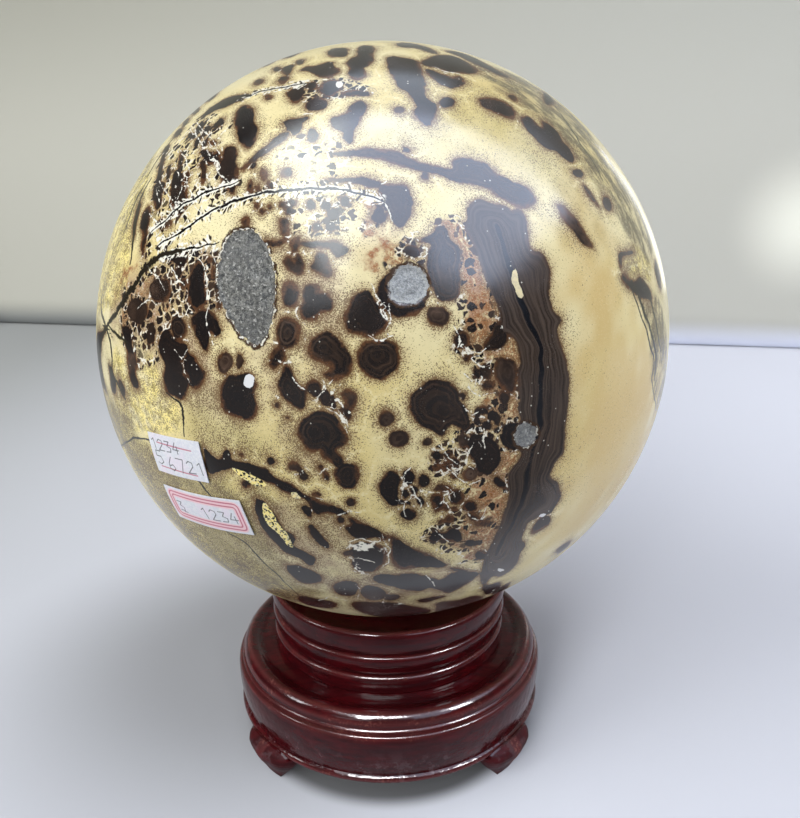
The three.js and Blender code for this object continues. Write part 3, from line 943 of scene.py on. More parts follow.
    (.1, 0, [446, 51, 458, 52, 472, 57, 486, 64, 500, 72, 510, 78, 500, 76, 486, 69, 470, 62, 458, 56]),
    (.38, .4, [330, 153, 345, 151, 356, 151, 364, 148, 376, 148, 388, 150, 400, 153, 412, 159, 425, 164,
        440, 166, 452, 168, 454, 161, 462, 157, 475, 160, 488, 165, 498, 174, 510, 180, 522, 184, 530, 190,
        535, 200, 531, 207, 521, 209, 510, 204, 498, 196, 488, 189, 476, 185, 462, 183, 450, 180, 442, 176,
        430, 173, 418, 170, 406, 167, 392, 163, 378, 160, 365, 157, 350, 156, 336, 156]),
    (.4, 0, [322, 181, 335, 178, 348, 178, 360, 177, 372, 178, 384, 183, 381, 188, 370, 187, 358, 184, 345,
        182, 332, 183]),
    # under the front, close to the collar
    (UMBER, .1, [352, 603, 376, 602, 405, 605, 430, 610, 420, 617, 388, 617, 362, 612]),
    (BROWN, .1, [436, 604, 458, 600, 478, 596, 480, 600, 462, 607, 440, 611]),
    (UMBER, 0, [300, 596, 318, 599, 336, 603, 330, 608, 312, 606, 300, 601]),
    (BLACK, 0, [482, 588, 492, 584, 500, 583, 498, 589, 488, 594]),
    # a feathered lens at the upper left
    (BLACK, 0, [201, 117, 208, 110, 216, 104, 226, 98.5, 236, 95.5, 247, 95, 242, 99.5, 234, 103, 224,
        107.5, 214, 111.5, 206, 115.5]),
    # beyond the great band on the right
    (.8, 0, [557, 206, 563, 206, 569, 211, 577, 219, 583, 229, 589, 240, 594, 248, 588, 246, 580, 241, 573,
        231, 566, 222, 560, 215]),
    (.6, 0, [582, 184, 586, 186, 594, 197, 600, 208, 596, 205, 588, 196]),
    (BLACK, 0, [621, 277, 625, 273, 630, 279, 635, 281, 640, 277, 646, 284, 651, 292, 652, 301, 646, 299,
        639, 297, 633, 292, 627, 287]),
    (.3, 0, [619, 258, 622, 252, 630, 249, 633, 252, 626, 256, 622, 262, 622, 270, 619, 266]),
    (.2, 0, [655, 261, 657, 264, 660, 276, 661, 288, 658, 284, 655, 272]),
    (BLACK, 0, [543, 96, 546, 93, 551, 97, 553, 104, 548, 105, 544, 101]),
    (.4, 0, [531, 531, 535, 524, 541, 517, 548, 516, 550, 521, 545, 528, 538, 532, 533, 533]),
    (.4, 0, [556, 551, 562, 545, 570, 541, 567, 547, 560, 552]),
    # the black band across the lower left, and the blobs below it
    (BLACK, .05, [204, 448, 209, 452, 215, 457, 219, 459, 222, 455, 226, 450, 231, 453, 232, 459, 240, 462,
        255, 465, 268, 470, 278, 479, 288, 482, 298, 488, 304, 494, 315, 499, 325, 503, 338, 508, 347, 513,
        338, 515, 326, 515, 316, 514, 310, 507, 304, 499, 292, 496, 282, 492, 272, 484, 262, 480, 250, 476,
        241, 471, 232, 469, 224, 470, 216, 473, 207, 470]),
    (.1, 0, [300, 508, 306, 505, 311, 511, 311, 518, 305, 515]),
    (.12, .05, [349, 516, 357, 519, 368, 525, 380, 531, 390, 537, 384, 541, 376, 537, 368, 539, 356, 539,
        349, 533, 345, 528, 350, 524]),
    (BLACK, 0, [256, 499, 262, 501, 268, 507, 275, 514, 280, 522, 283, 530, 290, 532, 296, 538, 294, 545,
        300, 549, 308, 553, 315, 558, 316, 564, 310, 566, 302, 560, 293, 556, 284, 552, 277, 545, 268, 535,
        260, 524, 256, 513, 255, 505]),
    (.08, 0, [287, 566, 295, 565, 305, 568, 315, 572, 321, 576, 320, 581, 312, 584, 303, 583, 294, 577, 288,
        571]),
    (.15, 0, [308, 525, 312, 524, 318, 531, 325, 539, 329, 545, 327, 549, 321, 546, 314, 539, 309, 531]),
    (.15, .1, [332, 587, 338, 582, 348, 581, 356, 583, 359, 588, 356, 594, 346, 596, 338, 594]),
    (.2, .1, [362, 588, 368, 585, 378, 587, 386, 593, 382, 599, 372, 600, 363, 596]),
    (.08, 0, [353, 545, 360, 542, 370, 543, 380, 546, 385, 551, 384, 558, 376, 562, 366, 560, 357, 557, 352,
        551]),
    (.15, 0, [352, 562, 358, 560, 370, 563, 375, 566, 370, 571, 360, 571, 353, 567]),
    (.12, 0, [391, 535, 400, 541, 412, 548, 424, 553, 437, 559, 448, 564, 440, 568, 425, 567, 412, 568, 402,
        569, 394, 565, 390, 556, 391, 547]),
    (.1, 0, [372, 579, 380, 574, 395, 575, 410, 573, 422, 574, 432, 578, 440, 580, 450, 574, 465, 571, 475,
        572, 478, 575, 470, 582, 460, 588, 450, 593, 440, 591, 430, 588, 420, 591, 405, 590, 392, 586, 380,
        583]),
    (.12, 0, [450, 567, 460, 568, 470, 571, 462, 573, 452, 571]),
    (.3, 0, [385, 596, 394, 594, 401, 597, 394, 600, 386, 600]),
    (.2, 0, [376, 605, 388, 602, 402, 605, 392, 608, 380, 608]),
    (.4, 0, [418, 600, 432, 597, 445, 596, 436, 600, 424, 602]),
    (.12, .3, [353, 546, 360, 542, 370, 543, 380, 545, 386, 550, 386, 560, 380, 568, 372, 572, 360, 571,
        352, 566, 354, 558, 351, 551]),
]

# Ovals by how dark and how ringed they are: place, half width and height, and their tilt
OVALS = {
    (.25, 1): [(288.5, 333, 12.5, 16)],
    (BLACK, .2): [(403, 293, 25, 25), (513, 436, 12, 13)],
    (UMBER, 0): [(413, 251, 8, 7), (334, 402, 3, 8, -10), (304, 475, 5, 5), (241, 455, 3, 2.5),
        (463, 396, 3.5, 3.5), (488, 385, 6, 5.5), (481, 411, 6, 5), (492, 416, 5, 5), (477, 421, 4, 5),
        (486, 425, 5, 5), (498, 420, 4, 6), (454, 475, 4, 3.5), (247, 72, 8, 2.2, -28),
        (268, 63, 7, 2.0, -24), (291, 55, 8, 2.0, -18), (232, 80, 5, 2.0, -34), (277, 69, 4, 2.5, -20),
        (259, 82, 5, 3, -20), (212, 97, 7, 2, -42), (196, 111, 5, 2, -46), (178, 133, 6, 2.2, -50),
        (166, 150, 5, 2.2, -54), (300, 62, 4, 2.4, -10), (186, 122, 4, 1.8, -48), (341, 521, 4, 4)],
    (BROWN, 0): [(278, 404, 3, 3), (287, 418, 2.5, 2.5), (487, 370, 7, 7)],
    (BROWN, .2): [(386, 419, 8.5, 8), (427, 443, 4.5, 4)],
    (.6, .3): [(399, 439, 9, 8.5)],
    (.12, 0): [(437, 456, 5, 5), (437, 467, 5, 4.5), (449, 455, 5, 4), (456, 462, 4, 5), (447, 466, 6, 5)],
    (BROWN, 1): [(470, 474, 8, 7.5)],
    (.1, 0): [(423, 481, 6, 7), (405, 494, 4, 4), (401, 503, 3, 3), (409, 503, 3, 2.5)],
    (.25, 0): [(446, 508, 4, 4), (455, 509, 4, 3), (325, 476, 4, 4), (321, 468, 3, 3)],
    (.2, 0): [(470, 543, 5, 4), (181, 160, 2.2, 9, 5), (268, 97, 3.5, 3), (251, 187, 3, 8),
        (263, 175, 4, 7, -10), (258, 188, 2, 6), (268, 186, 2.5, 6), (253, 166, 2.5, 5, 30)],
    (.3, 0): [(449, 519, 5, 4), (441, 521, 3, 3), (183, 284, 4, 6), (217, 287, 3, 6), (219, 306, 3, 5),
        (213, 272, 2.5, 6), (209, 260, 3, 4), (312, 86, 6, 4), (407, 149, 4, 3)],
    (.15, 0): [(481, 555, 6, 5), (192, 136, 4, 3.5), (200, 128, 3, 7, 30), (206, 131, 2.5, 8, 30),
        (198, 141, 2.5, 6, 30), (205, 143, 2.2, 6, 30), (213, 143, 4, 3), (221, 122, 3, 4, 20),
        (215, 127, 2.5, 3, 20), (169, 172, 2.2, 8, 10), (187, 178, 2, 7, 10)],
    (.15, .6): [(179, 328, 8, 12, -10)],
    (.55, .6): [(225, 363, 7.5, 11)],
    (.55, 0): [(239, 361, 4, 8)],
    (.4, 0): [(151, 333, 4, 12, 10), (178, 272, 4, 6), (426, 177, 4.5, 4), (317, 494, 5, 3)],
    (.5, 0): [(312, 136, 6, 7), (578, 173, 5, 4), (350, 502, 5, 4)],
    (.45, 0): [(256, 206, 3, 3), (262, 211, 3.5, 3.5), (270, 207, 3, 3), (283, 205, 3.5, 3.5),
        (288, 211, 4, 4), (293, 204, 4, 4), (333, 215, 6.5, 6.5), (331, 226, 6, 6), (316, 227, 5, 5),
        (326, 206, 5, 5), (345, 201, 5, 5), (310, 205, 5, 5)],
    (.7, 0): [(399, 110, 6, 3.5)],
    (.6, 0): [(607, 203, 4, 8, -20), (349, 553, 5, 3)],
    (BLACK, 0): [(247, 484, 4.5, 5)],
}

# The great curved band on the right, streaked along its length
GREAT_BAND = [
    467, 216, 468, 208, 473, 202, 482, 200, 490, 203, 498, 204, 506, 207, 511, 211, 519, 210, 524, 216, 527,
    226, 528, 238, 530, 247, 534, 251, 540, 252, 545, 256, 549, 265, 550, 280, 550, 297, 553, 308, 558,
    315, 562, 319, 560, 324, 557, 329, 559, 338, 563, 350, 567, 365, 569, 382, 568, 400, 566, 420, 565,
    440, 563, 452, 558, 460, 553, 468, 550, 476, 552, 480, 557, 484, 561, 492, 560, 500, 555, 507, 551,
    513, 545, 515, 536, 518, 528, 523, 524, 530, 522, 538, 525, 545, 521, 553, 517, 562, 512, 569, 505,
    574, 500, 576, 495, 575, 489, 579, 486, 585, 490, 588, 500, 587, 509, 583, 505, 589, 497, 594, 490,
    592, 485, 588, 481, 582, 480, 574, 483, 565, 485, 558, 488, 550, 493, 540, 498, 530, 501, 520, 505,
    508, 508, 500, 509, 492, 507, 482, 508, 474, 514, 466, 519, 458, 521, 450, 515, 447, 519, 440, 518,
    430, 519, 420, 518, 410, 520, 400, 519, 388, 518, 376, 521, 366, 519, 352, 516, 343, 510, 337, 502,
    334, 500, 325, 499, 312, 495, 298, 490, 287, 484, 275, 480, 262, 475, 250, 470, 238, 465, 226,
]
GREAT_BAND_CORE = [
    496, 226, 503, 248, 511, 272, 519, 298, 530, 322, 539, 345, 541, 365, 540, 385, 540, 405, 539, 425, 534,
    445, 529, 465, 526, 485, 520, 505, 513, 522, 503, 540, 494, 556,
]

for values in SPOTS:
    spot(*values)
for (darkness, rings), shapes in OVALS.items():
    for shape in shapes:
        oval(darkness, rings, *shape)
cover(photo_direction(GREAT_BAND), .42, 2.0, photo_direction(GREAT_BAND_CORE), core_line=True)

# Spots and bands made up for the far side
FAR_SPOTS = 120
FAR_SIZES = {1.0: .22, 1.4: .24, 2.0: .2, 2.8: .16, 4.0: .12, 5.0: .06}  # and how common each is
FAR_BANDS = [
    (6.0, .42, 2.0, [100, 62, 112, 40, 118, 16, 114, -10, 104, -34, 92, -50]),
    (3.2, .3, 1.5, [-95, 66, -120, 52, -150, 44, 178, 45, 156, 52]),
    (3.6, .06, .1, [-88, -22, -108, -34, -134, -38, -160, -34, 174, -24]),
    (2.6, .3, .4, [138, 30, 146, 12, 142, -8, 130, -24]),
    (2.8, .35, .4, [60, 82, 150, 74, -160, 66]),
]
far_side = np.random.default_rng(23)


def hidden(direction, margin):
    return direction @ TOWARD_CAMERA < math.cos(math.radians(margin))


def free_spot(centre, size, darkness, rings):
    """A rounded irregular spot around a direction."""
    side, up = flat_frame(centre)
    turn = np.linspace(0, 2 * math.pi, 11, endpoint=False)
    long_way = far_side.uniform(0, math.pi)
    stretch = far_side.uniform(1.0, 1.9)
    wander = 1 + 0.16 * far_side.normal(size=11)
    x, y = size * stretch * wander * np.cos(turn), size * wander * np.sin(turn)
    along = x * math.cos(long_way) - y * math.sin(long_way)
    across = x * math.sin(long_way) + y * math.cos(long_way)
    outline = unit(centre * STONE_RADIUS + along[:, None] * side + across[:, None] * up)
    offset = (far_side.uniform(-0.3, 0.3, 2) * size) @ np.stack([side, up])
    cover(outline, darkness, rings, unit(centre * STONE_RADIUS + offset)[None])


def free_band(half_width, darkness, rings, points):
    """A long band along a curve of places in degrees, thick in its middle and ragged."""
    middle = unit(curve(place_direction(points), False, 6))
    run = unit(np.gradient(middle, axis=0))
    side = np.cross(run, middle)
    share = np.linspace(0, 1, len(middle))
    width = half_width * np.sin(math.pi * np.clip(share, 0.02, 0.98)) ** 0.5
    left = width * (1 + 0.22 * far_side.normal(size=len(middle)))
    right = width * (1 + 0.22 * far_side.normal(size=len(middle)))
    outline = np.vstack([
        middle * STONE_RADIUS + side * left[:, None],
        (middle * STONE_RADIUS - side * right[:, None])[::-1],
    ])
    cover(unit(outline), darkness, rings, middle[::2], core_line=True)


def has_room(centre, size):
    """Whether a spot here stays clear of those that are placed."""
    for other, other_size in placed:
        if math.acos(np.clip(centre @ other, -1, 1)) * STONE_RADIUS <= 1.25 * (size + other_size):
            return False
    return True


for values in FAR_BANDS:
    free_band(*values)
placed = []
while len(placed) < FAR_SPOTS:
    centre = unit(far_side.normal(size=3))
    size = far_side.choice(list(FAR_SIZES), p=list(FAR_SIZES.values()))
    crowded = waves(centre[None] * STONE_RADIUS, 90, 5)[0] > -0.35
    if hidden(centre, 76 + size * 0.8) and crowded and has_room(centre, size):
        placed.append((centre, size))
        free_spot(centre, size, far_side.choice([.05, .1, .2, .35, .6]), far_side.choice([0, .2, .6, 1]))


# Pale pieces that the dark spots grew round: how golden, how white, and their outlines
PALE_PIECES = [
    (.1, .3, [512, 271, 516, 268, 519, 275, 521, 285, 523, 297, 518, 297, 514, 288, 511, 280]),
    (0, 1, [244, 379, 247, 376, 252, 376, 255, 379, 254, 385, 252, 388, 247, 388, 244, 386]),
    (1, 0, [262, 503, 268, 507, 274, 515, 278, 523, 284, 531, 290, 539, 294, 547, 289, 546, 282, 539, 275,
        531, 268, 524, 263, 514]),
    (1, 0, [231, 467, 240, 470, 250, 474, 262, 480, 268, 486, 260, 487, 250, 482, 240, 477]),
    (.5, .3, [290, 493, 295, 492, 301, 498, 297, 499, 292, 497]),
    (0, .8, [335, 84, 339, 81, 343, 84, 340, 88, 336, 87]),
    (0, 1, [538, 517, 542, 514, 547, 514, 543, 517]),
    (0, .9, [497, 569, 501, 568, 505, 570, 501, 572]),
]
pale_depth = np.full(len(skin), -REACH)
pale_kind = np.zeros((len(skin), 2))


def near_outline(pixels, spread, steps=5):
    """The places within a spread, in radians, of an outline's middle, and how deep each is inside it."""
    directions = photo_direction(pixels)
    centre = unit(directions.mean(0))
    pair = flat_frame(centre)
    near = np.flatnonzero(marked_skin @ centre > math.cos(spread))
    line = curve(flattened(directions, centre, pair), True, steps)
    return near, depth_inside(flattened(marked_skin[near], centre, pair), line)


for gilt, white, outline in PALE_PIECES:
    near, depth = near_outline(outline, 0.3)
    wins = depth > pale_depth[near]
    pale_depth[near[wins]] = depth[wins]
    pale_kind[near[wins]] = (gilt, white)

keep_values(stone.data, "spots", np.stack([nearest, growth, tone], 1))
keep_values(stone.data, "seams", np.stack([banding, nearest - second, np.zeros(len(skin))], 1))
keep_values(stone.data, "pale", np.column_stack([pale_depth, pale_kind]))

# Areas with a ground of their own: how strong, how many millimetres soft, and their outlines
AREAS = {
    "golden": [
        (1, 1.2, [116, 350, 124, 356, 136, 385, 148, 358, 158, 372, 166, 395, 174, 398, 181, 408, 182, 420,
            178, 430, 168, 433, 150, 433, 130, 430, 116, 405, 112, 380]),
        (1, 1.2, [88, 310, 92, 270, 100, 240, 112, 205, 128, 175, 150, 140, 176, 112, 190, 108, 168, 136,
            150, 168, 146, 192, 137, 222, 132, 250, 128, 275, 119, 300, 108, 310]),
        (1, 1.2, [620, 262, 624, 253, 634, 248, 644, 253, 650, 264, 651, 280, 644, 281, 636, 277, 626,
            274]),
        (1, 1.5, [238, 550, 262, 567, 285, 585, 302, 598, 290, 603, 262, 588, 236, 572]),
        (0.55, 3, [96, 425, 104, 470, 130, 520, 160, 560, 200, 595, 250, 612, 300, 606, 262, 580, 215, 545,
            180, 505, 160, 470, 148, 440]),
    ],
    "cells": [
        (0.55, 2.5, [150, 185, 165, 152, 198, 118, 226, 116, 232, 140, 215, 165, 238, 196, 205, 215, 176,
            240, 150, 256, 140, 262, 145, 215]),
        (1, 2.5, [140, 272, 165, 258, 215, 248, 224, 262, 220, 312, 188, 316, 160, 334, 122, 334, 118,
            308]),
        (0.55, 3, [286, 196, 340, 192, 372, 198, 366, 232, 330, 238, 300, 230, 284, 215]),
        (0.5, 3, [300, 138, 345, 142, 350, 172, 322, 184, 296, 178, 285, 160]),
        (1, 2.5, [440, 224, 452, 232, 461, 256, 464, 282, 455, 305, 455, 328, 452, 342, 462, 356, 474, 366,
            470, 382, 482, 394, 478, 408, 470, 422, 462, 436, 462, 450, 476, 462, 474, 480, 468, 500, 452,
            512, 446, 526, 428, 532, 432, 546, 452, 556, 482, 562, 500, 522, 508, 480, 520, 450, 520, 366,
            502, 336, 496, 300, 480, 260, 466, 225]),
        (1, 1.5, [428, 452, 446, 447, 462, 456, 462, 472, 446, 478, 430, 473]),
        (1, 1.5, [285, 86, 300, 82, 345, 78, 372, 88, 368, 98, 340, 98, 300, 104]),
        (0.8, 2.5, [400, 235, 424, 232, 428, 262, 400, 270, 386, 262]),
        (0.8, 2, [120, 330, 150, 322, 160, 345, 148, 368, 130, 360]),
    ],
    "rust": [
        (1, 2.5, [448, 228, 462, 240, 474, 258, 486, 280, 497, 304, 496, 330, 478, 350, 462, 334, 462, 300,
            466, 276, 458, 252]),
        (1, 1.5, [486, 356, 505, 346, 512, 336, 519, 350, 521, 366, 512, 362, 498, 360]),
        (1, 2, [476, 362, 500, 372, 518, 392, 518, 412, 500, 430, 476, 424, 482, 396]),
        (1, 2, [500, 448, 519, 450, 517, 462, 506, 474, 498, 486, 490, 470]),
        (1, 2.5, [478, 476, 506, 496, 503, 522, 494, 545, 478, 558, 452, 548, 462, 520, 476, 500]),
        (0.50, 3, [362, 196, 378, 204, 392, 226, 412, 240, 420, 262, 400, 268, 376, 280, 360, 262, 372,
            232]),
        (0.36, 4, [118, 268, 150, 262, 170, 290, 168, 330, 130, 330, 112, 310]),
    ],
    "olive": [
        (0.85, 6, [90, 390, 120, 408, 150, 446, 172, 458, 250, 492, 276, 545, 322, 600, 270, 650, 160, 600,
            80, 480]),
        (0.45, 5, [186, 380, 225, 420, 300, 440, 240, 458, 200, 446, 184, 430]),
        (0.25, 6, [270, 500, 345, 520, 345, 560, 440, 596, 360, 612, 300, 600, 255, 540]),
        # This patch darkens the top right: partly its grainy colour, partly painted shade.
        (0.30, 12, [400, 100, 470, 90, 540, 120, 590, 180, 600, 225, 555, 215, 520, 180, 450, 150, 405,
            140]),
    ],
    "tan": [
        (1, 12, [575, 170, 600, 240, 640, 330, 655, 420, 610, 500, 560, 540, 556, 480, 575, 420, 570, 330,
            558, 270]),
        (0.5, 6, [480, 74, 520, 88, 560, 118, 540, 116, 500, 92, 470, 82]),
    ],
    "dusky": [
        (1, 3, [112, 300, 150, 262, 214, 246, 226, 262, 222, 320, 214, 352, 214, 420, 186, 402, 160, 372,
            130, 352, 112, 330]),
        (0.8, 3, [250, 236, 300, 236, 352, 262, 350, 330, 300, 352, 262, 352, 262, 300]),
        (0.7, 3, [255, 360, 345, 380, 352, 440, 330, 470, 292, 462, 262, 410]),
        (0.8, 3, [288, 500, 345, 512, 392, 540, 440, 566, 480, 572, 440, 606, 380, 612, 330, 590, 290,
            545]),
    ],
    "rim": [
        (1, 2, [470, 60, 520, 78, 560, 104, 600, 146, 632, 196, 652, 240, 650, 262, 632, 240, 610, 208, 584,
            172, 552, 132, 510, 96, 474, 74]),
        (0.35, 1, [152, 158, 132, 198, 115, 244, 102, 290, 96, 340, 99, 340, 106, 292, 118, 250, 134, 210,
            156, 166]),
        (0.95, 1.5, [642, 300, 652, 290, 664, 320, 667, 360, 664, 400, 654, 400, 652, 360, 648, 330]),
        (0.5, 1, [655, 400, 664, 400, 645, 470, 615, 525, 575, 560, 548, 574, 580, 548, 618, 505, 645,
            445]),
    ],
}

# The same grounds on the far side: how strong, the wavelength, the seed, the threshold and the softness
FAR_AREAS = {
    "golden": (0.9, 75, 31, 0.62, 0.25),
    "cells": (0.62, 48, 37, 0.55, 0.45),
    "rust": (0.7, 60, 41, 0.72, 0.3),
    "olive": (0.7, 85, 43, 0.25, 0.5),
    "tan": (0.8, 95, 47, 0.1, 0.6),
    "dusky": (0.7, 70, 59, 0.3, 0.4),
}


def area(soft, outline):
    """How much each place is in an area, fading out over soft millimetres."""
    share = np.zeros(len(skin))
    near, depth = near_outline(outline, 0.95, 3)
    depth = depth + 0.5 * soft * waves(skin_mm[near], 9, 3)
    blend = np.clip(depth / soft * 0.5 + 0.5, 0, 1)
    share[near] = blend * blend * (3 - 2 * blend)
    return share


def far_area(wavelength, seed, threshold, soft):
    """Made-up areas on the side that the photograph doesn't show."""
    away = np.clip((0.30 - skin @ TOWARD_CAMERA) / 0.25, 0, 1)
    return away * np.clip((waves(skin_mm, wavelength, seed) - threshold) / soft, 0, 1)


ground = {}
for name, patches in AREAS.items():
    shares = [strength * area(soft, outline) for strength, soft, outline in patches]
    if name in FAR_AREAS:
        strength, *field = FAR_AREAS[name]
        shares.append(strength * far_area(*field))
    ground[name] = np.maximum.reduce(shares)
keep_values(stone.data, "grounds", np.stack([ground["golden"], ground["cells"], ground["rust"]], 1))
keep_values(stone.data, "shades", np.stack([ground["olive"], ground["tan"], ground["dusky"]], 1))

turn_axis = unit(np.array(camera_up) - np.array(camera_up) @ TOWARD_CAMERA * TOWARD_CAMERA)
view_angle = np.arccos(np.clip(skin @ TOWARD_CAMERA, -1, 1))
view_turn = np.arctan2(skin @ np.cross(turn_axis, TOWARD_CAMERA), skin @ turn_axis)
keep_values(stone.data, "rim", np.stack(
    [view_angle * STONE_RADIUS, view_turn * STONE_RADIUS, ground["rim"]], 1
))

# Thin lines by half width: fern-like ribs, dark veins, fans of fine veins, and healed white cracks
CRACK_WIDTH = 0.20
LINES = {
    "rib_lines": [
        (0.50, [160, 244, 172, 237, 184, 230, 195, 222, 210, 212, 225, 204, 240, 200, 252, 196, 268, 192,
            286, 190, 305, 189, 325, 188, 345, 190, 362, 194, 378, 199]),
        (0.45, [244, 98, 250, 96, 258, 92, 272, 89, 288, 86, 302, 84]),
        (0.40, [152, 232, 163, 222, 175, 211, 186, 203, 198, 197, 208, 192, 222, 187, 236, 182]),
        (0.35, [158, 257, 168, 254, 178, 251, 190, 249, 203, 246, 215, 243]),
    ],
    "vein_lines": [
        (1.25, [104, 330, 113, 317, 123, 302, 133, 287, 142, 273, 152, 262, 163, 254, 176, 252]),
        (1.15, [203, 115, 210, 110, 218, 105, 226, 101, 235, 98, 246, 96]),
        (0.40, [121, 447, 128, 441, 137, 438, 150, 440, 165, 442]),
        (0.45, [196, 478, 204, 488, 212, 497]),
        (0.35, [222, 528, 238, 538, 248, 545, 256, 554, 264, 562, 277, 574, 290, 587, 302, 598]),
        (0.45, [632, 290, 638, 306, 645, 326, 650, 345, 654, 362, 652, 378, 654, 395, 656, 408]),
        (0.5, [172, 397, 180, 404, 183, 415, 184, 428]),
    ],
    "star_lines": [
        (1.0, [106, 328, 102, 336, 100, 350, 101, 372, 105, 388]),
        (0.7, [107, 330, 110, 342, 112, 356, 112, 372]),
        (0.8, [110, 368, 114, 378, 119, 387, 123, 395]),
        (0.8, [107, 327, 103, 318, 101, 308, 102, 296]),
        (0.6, [109, 326, 116, 334, 124, 340]),
        (0.7, [148, 184, 141, 198, 136, 218, 133, 240, 131, 258]),
        (0.7, [150, 172, 160, 156, 172, 140, 184, 127]),
        (0.8, [186, 120, 200, 106, 214, 94, 228, 84]),
        (0.6, [236, 80, 250, 72, 266, 65]),
        (0.6, [128, 222, 136, 200, 144, 186]),
        (0.8, [634, 286, 640, 300, 647, 318, 652, 336, 656, 356, 655, 374]),
        (0.6, [645, 284, 652, 304, 656, 324, 660, 346]),
        (0.35, [553, 104, 565, 120, 578, 140, 592, 160, 600, 175]),
    ],
    "crack_lines": [(CRACK_WIDTH, crack) for crack in [
        [157, 190, 158, 198, 160, 206], [176, 165, 179, 176, 182, 186, 178, 198],
        [160, 182, 172, 200, 186, 205], [190, 128, 197, 138, 206, 150, 210, 158],
        [196, 122, 204, 131, 213, 141, 219, 152], [203, 148, 212, 156, 220, 168],
        [168, 196, 171, 207, 176, 214], [186, 178, 190, 190, 193, 204, 200, 212],
        [180, 150, 186, 160, 190, 174], [212, 160, 218, 172, 228, 180], [150, 215, 156, 222, 158, 232],
        [196, 256, 204, 268, 207, 282, 206, 296], [207, 312, 206, 322, 209, 333, 212, 341],
        [213, 258, 219, 270, 221, 284, 220, 300], [176, 352, 182, 358, 186, 352],
        [183, 360, 184, 372, 190, 382], [148, 268, 156, 276, 163, 288], [170, 264, 176, 276, 182, 284],
        [140, 306, 148, 300, 156, 305], [422, 242, 427, 248, 427, 254, 422, 258],
        [381, 197, 386, 206, 391, 217], [374, 286, 378, 296, 382, 304], [378, 304, 384, 316, 390, 322],
        [388, 306, 391, 318, 388, 326], [372, 336, 380, 340, 388, 338], [281, 362, 284, 364, 288, 361],
        [295, 380, 298, 385, 302, 388], [318, 396, 324, 390, 330, 383],
        [331, 405, 337, 399, 340, 401, 348, 410], [330, 408, 338, 414, 343, 421, 346, 428],
        [344, 413, 346, 418, 348, 424], [402, 494, 405, 487, 412, 489, 416, 496],
        [405, 488, 404, 478, 410, 470], [412, 489, 410, 498, 404, 504, 406, 514],
        [416, 496, 421, 502, 420, 510], [398, 502, 404, 504], [441, 448, 446, 452, 450, 458, 455, 462],
        [451, 470, 454, 472, 457, 477], [437, 506, 443, 500, 446, 493, 451, 499],
        [443, 500, 448, 506, 452, 512], [448, 488, 454, 492, 460, 490],
        [464, 510, 469, 516, 476, 520, 482, 518, 485, 511], [462, 480, 470, 484, 478, 482],
        [480, 428, 483, 438, 485, 450], [472, 446, 468, 454, 465, 463, 470, 467],
        [466, 408, 472, 414, 478, 412], [438, 532, 442, 537, 447, 541],
        [462, 340, 468, 350, 478, 352, 486, 348], [455, 330, 460, 338, 458, 348],
        [474, 360, 482, 366, 492, 364], [466, 376, 474, 382, 482, 380], [470, 390, 478, 396, 490, 394],
        [384, 537, 386, 544, 390, 549, 387, 556, 389, 561, 383, 567], [356, 558, 364, 559, 372, 562],
        [352, 541, 362, 539, 372, 542, 381, 541], [357, 586, 361, 590, 358, 597],
        [436, 68, 446, 72, 458, 74], [340, 515, 348, 511, 356, 512], [427, 576, 430, 581, 434, 586],
        [320, 600, 332, 597, 344, 600],
    ]],
}

# More of them on the far side, in degrees to the right of the front and up
FAR_LINES = {
    "vein_lines": [
        (0.5, [-84, 30, -100, 22, -118, 26, -136, 18, -152, 24]),
        (0.5, [120, -44, 140, -52, 165, -48, -172, -54]),
        (0.45, [96, 20, 88, 2, 84, -20, 78, -36]),
    ],
    "star_lines": [
        (0.5, [160, 8, -176, 2, -158, -8, -140, -6]),
    ],
    "crack_lines": [(CRACK_WIDTH, crack) for crack in [
        [120, 30, 112, 26, 104, 24], [150, -12, 156, -20, 164, -24], [-100, 40, -108, 34, -112, 26],
        [-150, 10, -156, 2, -158, -8], [88, -30, 94, -36, 96, -44], [-70, -20, -76, -26, -78, -34],
    ]],
}


def thin_lines(lines):
    """For each place, how far it is to the side of the nearest line in half widths, the distance to that
    line and how far along it, in millimetres."""
    points, headings, widths, lengths = [], [], [], []
    for half_width, directions in lines:
        path = unit(curve(directions, False, 8))
        heading = unit(np.gradient(path, axis=0))
        share = np.linspace(0, 1, len(path))
        points.append(path)
        headings.append(np.cross(heading, path))
        widths.append(half_width * (0.45 + 0.55 * np.sin(math.pi * np.clip(share, 0.03, 0.97)) ** 0.6))
        steps = np.linalg.norm(np.diff(path, axis=0), axis=1) * STONE_RADIUS
        lengths.append(np.concatenate([[0], np.cumsum(steps)]))
    points, headings = np.vstack(points), np.vstack(headings)
    widths, lengths = np.concatenate(widths), np.concatenate(lengths)
    nearness = marked_skin @ points.T
    best = nearness.argmax(1)
    closest = np.clip(nearness[np.arange(len(best)), best], -1, 1)
    distance = np.arccos(closest) * STONE_RADIUS
    sideways = np.einsum("ij,ij->i", marked_skin, headings[best]) * STONE_RADIUS
    return np.stack([sideways / widths[best], np.minimum(distance, 30), lengths[best]], 1)


for name, shown in LINES.items():
    made_up = FAR_LINES.get(name, [])
    keep_values(stone.data, name, thin_lines(
        [(half_width, photo_direction(line)) for half_width, line in shown]
        + [(half_width, place_direction(line)) for half_width, line in made_up]
    ))

